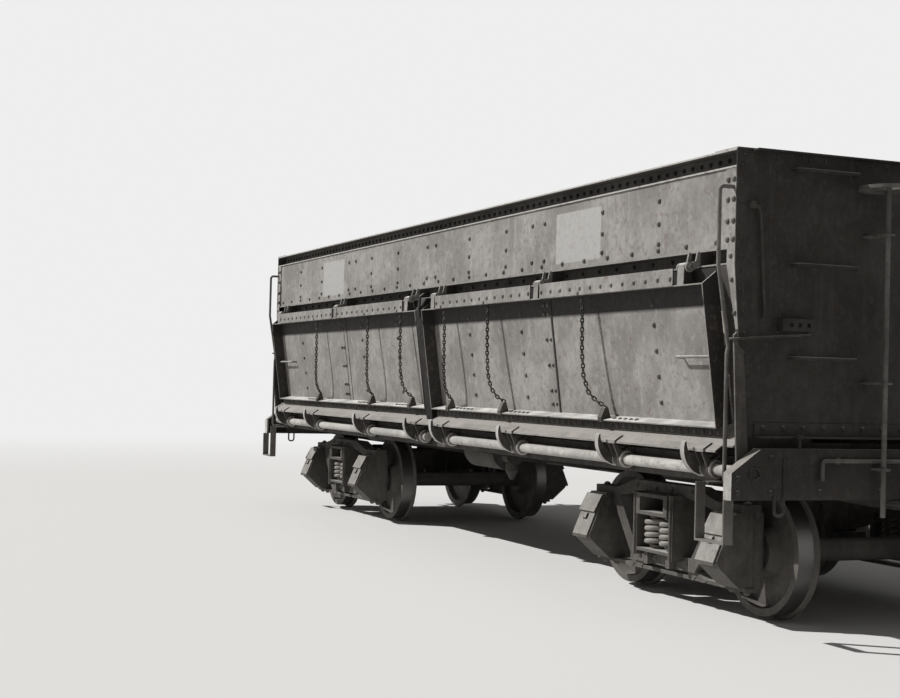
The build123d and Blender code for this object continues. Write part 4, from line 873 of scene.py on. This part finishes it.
floorRivets = {
    "seams": (-3.22, -1.61, 0.0, 1.61, 3.22),
    "gaps": (-0.03, 0.03),
    "reach": (0.08, 1.28),
    "pitch": 0.12,
    "size": 0.75,
    "ridge": up(2.05),
    "slope": (2.05 - 1.081) / 1.48,  # from the ridge down to the lip
}
points = []
for side in sides.values():
    length = math.hypot(1.0, floorRivets["slope"])
    upNormal = (0, side * floorRivets["slope"] / length, 1 / length)
    for x in floorRivets["seams"]:
        for y in evenly(*floorRivets["reach"], floorRivets["pitch"]):
            z = floorRivets["ridge"] - y * floorRivets["slope"]
            for gap in floorRivets["gaps"]:
                points.append(((x + gap, side * y, z), upNormal, floorRivets["size"]))
rivets("floorRivets", points, "wagon_body", "floor_plate")

# chains

chainLook = {
    "near": 0.078,
    "far": 4.640,
    "tops": (0.450, 1.343, -1.604),
    "lugs": (0.381, 1.454, -1.442),
    "topY": 1.522,
    # points on a chain's way: shares of the way down, along and inward
    "hang": (
        (0.50, 0.03, 0.04),
        (0.72, 0.14, 0.10),
        (0.87, 0.36, 0.28),
        (0.955, 0.68, 0.62),
        (1.0, 1.0, 1.0),
    ),
    "lowY": 1.412,
    "topZ": up(2.066),
    "lowZ": up(1.314),
    "links": 27,
    "bar": 0.0056,
    "wide": 0.033,
    "cornerSteps": 4,
    "cornerShare": 0.49,
    "barSides": 8,
}


def chainGroup():
    numbers = {"Links": "Int", "Bar Radius": "Float", "Link Width": "Float", "Link Length": "Float"}
    group = groupOf("chainLinks", numbers)
    entry = nodeOf(group, "NodeGroupInput")
    run = nodeOf(group, "GeometryNodeMeshToCurve")
    group.links.new(entry.outputs["Geometry"], run.inputs["Mesh"])
    steps = nodeOf(group, "GeometryNodeResampleCurve")
    group.links.new(run.outputs["Curve"], steps.inputs["Curve"])
    group.links.new(entry.outputs["Links"], steps.inputs["Count"])
    oval = nodeOf(group, "GeometryNodeCurvePrimitiveQuadrilateral")
    group.links.new(entry.outputs["Link Width"], oval.inputs["Width"])
    group.links.new(entry.outputs["Link Length"], oval.inputs["Height"])
    rounded = nodeOf(group, "GeometryNodeFilletCurve")
    for socket in rounded.inputs:
        if socket.name == "Count":
            socket.default_value = chainLook["cornerSteps"]
        if socket.name == "Mode":
            socket.default_value = "Poly"
    group.links.new(oval.outputs["Curve"], rounded.inputs["Curve"])
    half = nodeOf(group, "ShaderNodeMath", operation="MULTIPLY")
    half.inputs[1].default_value = chainLook["cornerShare"]
    group.links.new(entry.outputs["Link Width"], half.inputs[0])
    group.links.new(half.outputs[0], rounded.inputs["Radius"])
    ring = nodeOf(group, "GeometryNodeCurvePrimitiveCircle")
    ring.inputs["Resolution"].default_value = chainLook["barSides"]
    group.links.new(entry.outputs["Bar Radius"], ring.inputs["Radius"])
    solid = nodeOf(group, "GeometryNodeCurveToMesh")
    group.links.new(rounded.outputs["Curve"], solid.inputs["Curve"])
    group.links.new(ring.outputs["Curve"], solid.inputs["Profile Curve"])
    tangent = nodeOf(group, "GeometryNodeInputTangent")
    turn = nodeOf(group, "FunctionNodeAlignRotationToVector", axis="Y")
    group.links.new(tangent.outputs[0], turn.inputs["Vector"])
    index = nodeOf(group, "GeometryNodeInputIndex")
    odd = nodeOf(group, "ShaderNodeMath", operation="MODULO")
    odd.inputs[1].default_value = 2.0
    group.links.new(index.outputs[0], odd.inputs[0])
    quarter = nodeOf(group, "ShaderNodeMath", operation="MULTIPLY")
    quarter.inputs[1].default_value = math.pi / 2
    group.links.new(odd.outputs[0], quarter.inputs[0])
    twist = nodeOf(group, "ShaderNodeCombineXYZ")
    group.links.new(quarter.outputs[0], twist.inputs[1])
    crossed = nodeOf(group, "FunctionNodeRotateRotation", rotation_space="LOCAL")
    group.links.new(turn.outputs["Rotation"], crossed.inputs[0])
    group.links.new(twist.outputs[0], crossed.inputs[1])
    spread = nodeOf(group, "GeometryNodeInstanceOnPoints")
    group.links.new(steps.outputs["Curve"], spread.inputs["Points"])
    group.links.new(solid.outputs["Mesh"], spread.inputs["Instance"])
    group.links.new(crossed.outputs[0], spread.inputs["Rotation"])
    closeGroup(group, entry, spread.outputs["Instances"])
    return group


chainLinks = chainGroup()
for sideName, side in sides.items():
    for endName, end in ends.items():
        vertices = []
        edges = []
        length = 0.0
        for top, low in zip(chainLook["tops"], chainLook["lugs"]):
            topX = (chainLook["near"] if top > 0 else chainLook["far"]) + top
            lowX = (chainLook["near"] if low > 0 else chainLook["far"]) + low
            first = len(vertices)
            vertices.append((end * topX, side * chainLook["topY"], chainLook["topZ"]))
            for down, along, inward in chainLook["hang"]:
                x = topX + (lowX - topX) * along
                y = chainLook["topY"] + (chainLook["lowY"] - chainLook["topY"]) * inward
                z = chainLook["topZ"] + (chainLook["lowZ"] - chainLook["topZ"]) * down
                vertices.append((end * x, side * y, z))
            edges += [(index, index + 1) for index in range(first, len(vertices) - 1)]
            run = [Vector(vertex) for vertex in vertices[first:]]
            gone = sum((after - before).length for before, after in zip(run, run[1:]))
            length = max(length, gone)
        mesh = bpy.data.meshes.new("chainRuns")
        mesh.from_pydata(vertices, edges, [])
        holder = placed("chainRuns", mesh)
        pitch = length / (chainLook["links"] - 1)
        values = {
            "Links": chainLook["links"],
            "Bar Radius": chainLook["bar"],
            "Link Width": chainLook["wide"] - 2 * chainLook["bar"],
            "Link Length": pitch + 2 * chainLook["bar"],
            "Finish": materials["chain"],
        }
        chainName = f"chains_{sideName}_{endName}"
        made = evaluated(holder, chainLinks, values, chainName)
        piece = linkMesh(chainName, made, materials["chain"], f"door_{sideName}_{endName}")
        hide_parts(f"door_chains_{sideName}_{endName}")
print("stage chains done")

# bent rods and pipes


rodShape = {"steps": 5, "share": 0.48, "roundness": 2}


def softened(points, bend):
    corners = [Vector(point) for point in points]
    result = [corners[0]]
    for before, corner, after in zip(corners, corners[1:], corners[2:]):
        shorter = min((corner - before).length, (after - corner).length)
        reach = min(bend, shorter * rodShape["share"])
        start = corner + (before - corner).normalized() * reach
        stop = corner + (after - corner).normalized() * reach
        for step in range(rodShape["steps"] + 1):
            share = step / rodShape["steps"]
            middle = corner * 2 * share * (1 - share)
            result.append(start * (1 - share) ** 2 + middle + stop * share**2)
    return result + [corners[-1]]


def tubes(name, routes, radius, body, slot, bend=0.025):
    curve = bpy.data.curves.new(name, "CURVE")
    curve.dimensions = "3D"
    curve.bevel_depth = radius
    curve.bevel_resolution = rodShape["roundness"]
    curve.use_fill_caps = True
    for route in routes:
        line = softened(route, bend)
        spline = curve.splines.new("POLY")
        spline.points.add(len(line) - 1)
        for point, place in zip(spline.points, line):
            point.co = (*place, 1.0)
    holder = placed(name + "Run", curve)
    mesh = meshFrom(holder, name)
    mesh.materials.clear()
    bpy.data.objects.remove(holder)
    for face in mesh.polygons:
        face.use_smooth = True
    return linkMesh(name, mesh, materials[slot], body)


def ringRoute(centre, radius, axis, count=16):
    route = []
    for step in range(count + 1):
        angle = 2 * math.pi * step / count
        place = list(centre)
        place[(axis + 1) % 3] += math.cos(angle) * radius
        place[(axis + 2) % 3] += math.sin(angle) * radius
        route.append(tuple(place))
    return route


endRods = {
    "face": 4.827,
    "ring": (4.845, 1.450, up(1.748)),
    "ringRadius": 0.032,
    "root": (0.93, up(1.79)),
    "rodX": 4.872,
    "rod": 0.008,
    "bend": 0.02,
    "kink": 0.06,
    "rise": 0.006,
}
routes = []
ringX, ringY, ringZ = endRods["ring"]
rootY, rootZ = endRods["root"]
for side in sides.values():
    for end in ends.values():
        rodX = end * endRods["rodX"]
        routes.append(ringRoute((end * ringX, side * ringY, ringZ), endRods["ringRadius"], 2))
        routes.append(
            [
                (end * endRods["face"], side * rootY, rootZ),
                (rodX, side * rootY, rootZ),
                (rodX, side * (ringY - endRods["kink"]), ringZ + endRods["rise"]),
                (end * (ringX + endRods["rise"]), side * (ringY - endRods["ringRadius"]), ringZ),
            ]
        )
tubes("keeperRods", routes, endRods["rod"], "wagon_body", "frame_paint", endRods["bend"])

retainer = {
    "place": (4.858, -1.352, up(2.548)),
    "body": (-0.018, 0.022),
    "bodyRadius": 0.017,
    "elbow": (4.858, -1.310, up(2.538)),
    "pipeHigh": (4.852, -1.292, up(2.473)),
    "pipeLow": (4.846, -1.250, up(1.90)),
    "pipeFoot": (4.824, -1.250, up(1.87)),
    "pipeRadius": 0.0095,
}
pipe = [retainer[name] for name in ("place", "elbow", "pipeHigh", "pipeLow", "pipeFoot")]
tubes("retainerPipe", [pipe], retainer["pipeRadius"], "wagon_body", "frame_paint")
valveX, valveY, valveZ = retainer["place"]
routes = [
    [(valveX, valveY, valveZ + height) for height in retainer["body"]],
    [(endRods["face"], valveY, valveZ), retainer["place"]],
]
tubes("retainerValve", routes, retainer["bodyRadius"], "wagon_body", "cast_iron")

collars = {
    "hooks": (0.316, 1.713, 3.337, 4.435),
    "offset": 0.141,
    "shaft": (1.385, up(0.962)),
    "radius": 0.051,
    "bar": 0.0095,
    "bend": 0.012,
}
routes = []
for side in sides.values():
    for end in ends.values():
        for hook in collars["hooks"]:
            shaftY, shaftZ = collars["shaft"]
            centre = (end * hook + collars["offset"], side * shaftY, shaftZ)
            routes.append(ringRoute(centre, collars["radius"], 0))
tubes("bearingCollars", routes, collars["bar"], "wagon_body", "worn_bar", collars["bend"])

hingeCaps = {
    "places": (0.320, 2.350, 4.380),
    "reach": 0.067,
    "pin": (1.520, up(2.195)),
    "radius": 0.019,
    "height": 0.45,
}
points = []
for side in sides.values():
    for end in ends.values():
        for place in hingeCaps["places"]:
            for way in (1, -1):
                pinY, pinZ = hingeCaps["pin"]
                head = (end * place + way * hingeCaps["reach"], side * pinY, pinZ)
                points.append((head, (way, 0, 0), 1.0))
rivets(
    "hingePinHeads",
    points,
    "wagon_body",
    "bar_paint",
    radius=hingeCaps["radius"],
    height=hingeCaps["height"],
)

truckBolts = {
    "centre": 3.4,
    "axle": 0.838,
    "face": 1.045,
    "bolts": ((0.10, up(0.756)), (0.36, up(0.756)), (0.10, up(0.27)), (0.30, up(0.27))),
    "radius": 0.021,
    "height": 0.8,
    "sides": 8,
    "box": 0.978,
    "boxPair": 0.085,
    "boxSize": 1.3,
    "underBox": up(0.168),
    "overBox": up(0.723),
}
innerSprings = {
    "places": (-0.100, 0.100),
    "y": 1.020,
    "radius": 0.052,
    "wire": 0.011,
    "low": up(0.337),
    "high": up(0.572),
    "turns": 5.5,
    "steps": 12,
}
for endName, end in ends.items():
    body = "truck_" + endName
    middle = end * truckBolts["centre"]
    points = []
    for side in sides.values():
        face = side * truckBolts["face"]
        for x, z in truckBolts["bolts"]:
            points += [((middle + way * x, face, z), (0, side, 0), 1.0) for way in (1, -1)]
        box = side * truckBolts["box"]
        for axle in (-truckBolts["axle"], truckBolts["axle"]):
            for way in (-truckBolts["boxPair"], truckBolts["boxPair"]):
                x = middle + axle + way
                points.append(((x, box, truckBolts["underBox"]), (0, 0, -1), truckBolts["boxSize"]))
                points.append(((x, box, truckBolts["overBox"]), (0, 0, 1), truckBolts["boxSize"]))
    rivets(
        f"truckBolts_{endName}",
        points,
        body,
        "truck_iron",
        radius=truckBolts["radius"],
        height=truckBolts["height"],
        segments=truckBolts["sides"],
    )
    low = innerSprings["low"] + innerSprings["wire"]
    high = innerSprings["high"] - innerSprings["wire"]
    count = int(innerSprings["turns"] * innerSprings["steps"])
    routes = []
    for side in sides.values():
        for across in innerSprings["places"]:
            route = []
            for step in range(count + 1):
                angle = step / innerSprings["steps"] * 2 * math.pi
                x = middle + across + math.cos(-angle) * innerSprings["radius"]
                y = side * innerSprings["y"] + math.sin(-angle) * innerSprings["radius"]
                route.append((x, y, low + (high - low) * (step / count)))
            routes.append(route)
    tubes(f"innerSprings_{endName}", routes, innerSprings["wire"], body, "spring_steel", 0.0)
print("stage rods done")

# stage, light and camera

stageLook = {
    "floor": (0.78, 0.77, 0.75),
    "floorHalf": 90,
    "floorRough": 0.95,
    "floorSpecular": 0.1,
    "fade": (9.0, 26.0),
    "backdrop": 0.86,
    "world": 0.15,
    "sun": 4.2,
    "sunAngle": 0.7,
    "sunWay": (0.8, 1.0, -0.95),
}
backdrop = (stageLook["backdrop"],) * 3 + (1.0,)


def mixShaders(tree, share, first, second, target):
    blend = nodeOf(tree, "ShaderNodeMixShader")
    for place, source in enumerate((share, first, second)):
        tree.links.new(source, blend.inputs[place])
    tree.links.new(blend.outputs[0], target)


half = stageLook["floorHalf"]
floorMesh = bpy.data.meshes.new("floor")
floorCorners = [(-half, -half, 0), (half, -half, 0), (half, half, 0), (-half, half, 0)]
floorMesh.from_pydata(floorCorners, [], [(0, 1, 2, 3)])
floor = placed("floor", floorMesh)
floorMaterial = bpy.data.materials.new("paleFloor")
floorMaterial.use_nodes = True
tree = floorMaterial.node_tree
shader = tree.nodes["Principled BSDF"]
shader.inputs["Base Color"].default_value = (*stageLook["floor"], 1.0)
shader.inputs["Roughness"].default_value = stageLook["floorRough"]
shader.inputs["Specular IOR Level"].default_value = stageLook["floorSpecular"]
coords = nodeOf(tree, "ShaderNodeTexCoord").outputs["Object"]
distance = nodeOf(tree, "ShaderNodeVectorMath", operation="LENGTH")
tree.links.new(coords, distance.inputs[0])
fade = remap(tree, distance.outputs["Value"], stageLook["fade"])
paths = nodeOf(tree, "ShaderNodeLightPath")
seen = times(tree, fade, paths.outputs["Is Camera Ray"])
glow = nodeOf(tree, "ShaderNodeEmission")
glow.inputs["Color"].default_value = backdrop
target = tree.nodes["Material Output"].inputs["Surface"]
mixShaders(tree, seen, shader.outputs[0], glow.outputs[0], target)
floorMesh.materials.append(floorMaterial)

world = bpy.data.worlds.new("studio")
bpy.context.scene.world = world
world.use_nodes = True
tree = world.node_tree
tree.nodes.clear()
light = nodeOf(tree, "ShaderNodeBackground")
light.inputs["Color"].default_value = (1.0, 1.0, 1.0, 1.0)
light.inputs["Strength"].default_value = stageLook["world"]
seenSky = nodeOf(tree, "ShaderNodeBackground")
seenSky.inputs["Color"].default_value = backdrop
seenSky.inputs["Strength"].default_value = 1.0
paths = nodeOf(tree, "ShaderNodeLightPath")
visible = joinMath(tree, "MAXIMUM", paths.outputs["Is Camera Ray"], paths.outputs["Is Glossy Ray"])
visible = joinMath(tree, "MAXIMUM", visible, paths.outputs["Is Transmission Ray"])
output = nodeOf(tree, "ShaderNodeOutputWorld")
mixShaders(tree, visible, light.outputs[0], seenSky.outputs[0], output.inputs["Surface"])

sunData = bpy.data.lights.new("sun", "SUN")
sunData.energy = stageLook["sun"]
sunData.angle = math.radians(stageLook["sunAngle"])
sun = placed("sun", sunData)
sun.rotation_euler = Vector(stageLook["sunWay"]).to_track_quat("-Z", "Y").to_euler()

cameraSettings = {
    "place": (12.358, -6.436, up(1.437)),
    "heading": 22.8,
    "pitch": 1.34,
    "roll": 1.5,
    "focal": 60.0,
    "sensor": 36.0,
    "farClip": 400.0,
}
heading = math.radians(cameraSettings["heading"])
pitch = math.radians(cameraSettings["pitch"])
roll = math.radians(cameraSettings["roll"])
flat = math.cos(pitch)
forward = Vector((-math.cos(heading) * flat, math.sin(heading) * flat, math.sin(pitch)))
level = forward.cross(Vector((0, 0, 1))).normalized()
above = level.cross(forward).normalized()
right = level * math.cos(roll) + above * math.sin(roll)
upward = above * math.cos(roll) - level * math.sin(roll)
cameraData = bpy.data.cameras.new("camera")
cameraData.lens = cameraSettings["focal"]
cameraData.sensor_width = cameraSettings["sensor"]
cameraData.clip_end = cameraSettings["farClip"]
camera = placed("camera", cameraData)
turn = Matrix((right, upward, -forward)).transposed().to_4x4()
camera.matrix_world = Matrix.Translation(cameraSettings["place"]) @ turn
bpy.context.scene.camera = camera
bpy.context.scene.view_settings.view_transform = "Standard"
print("stage camera done")
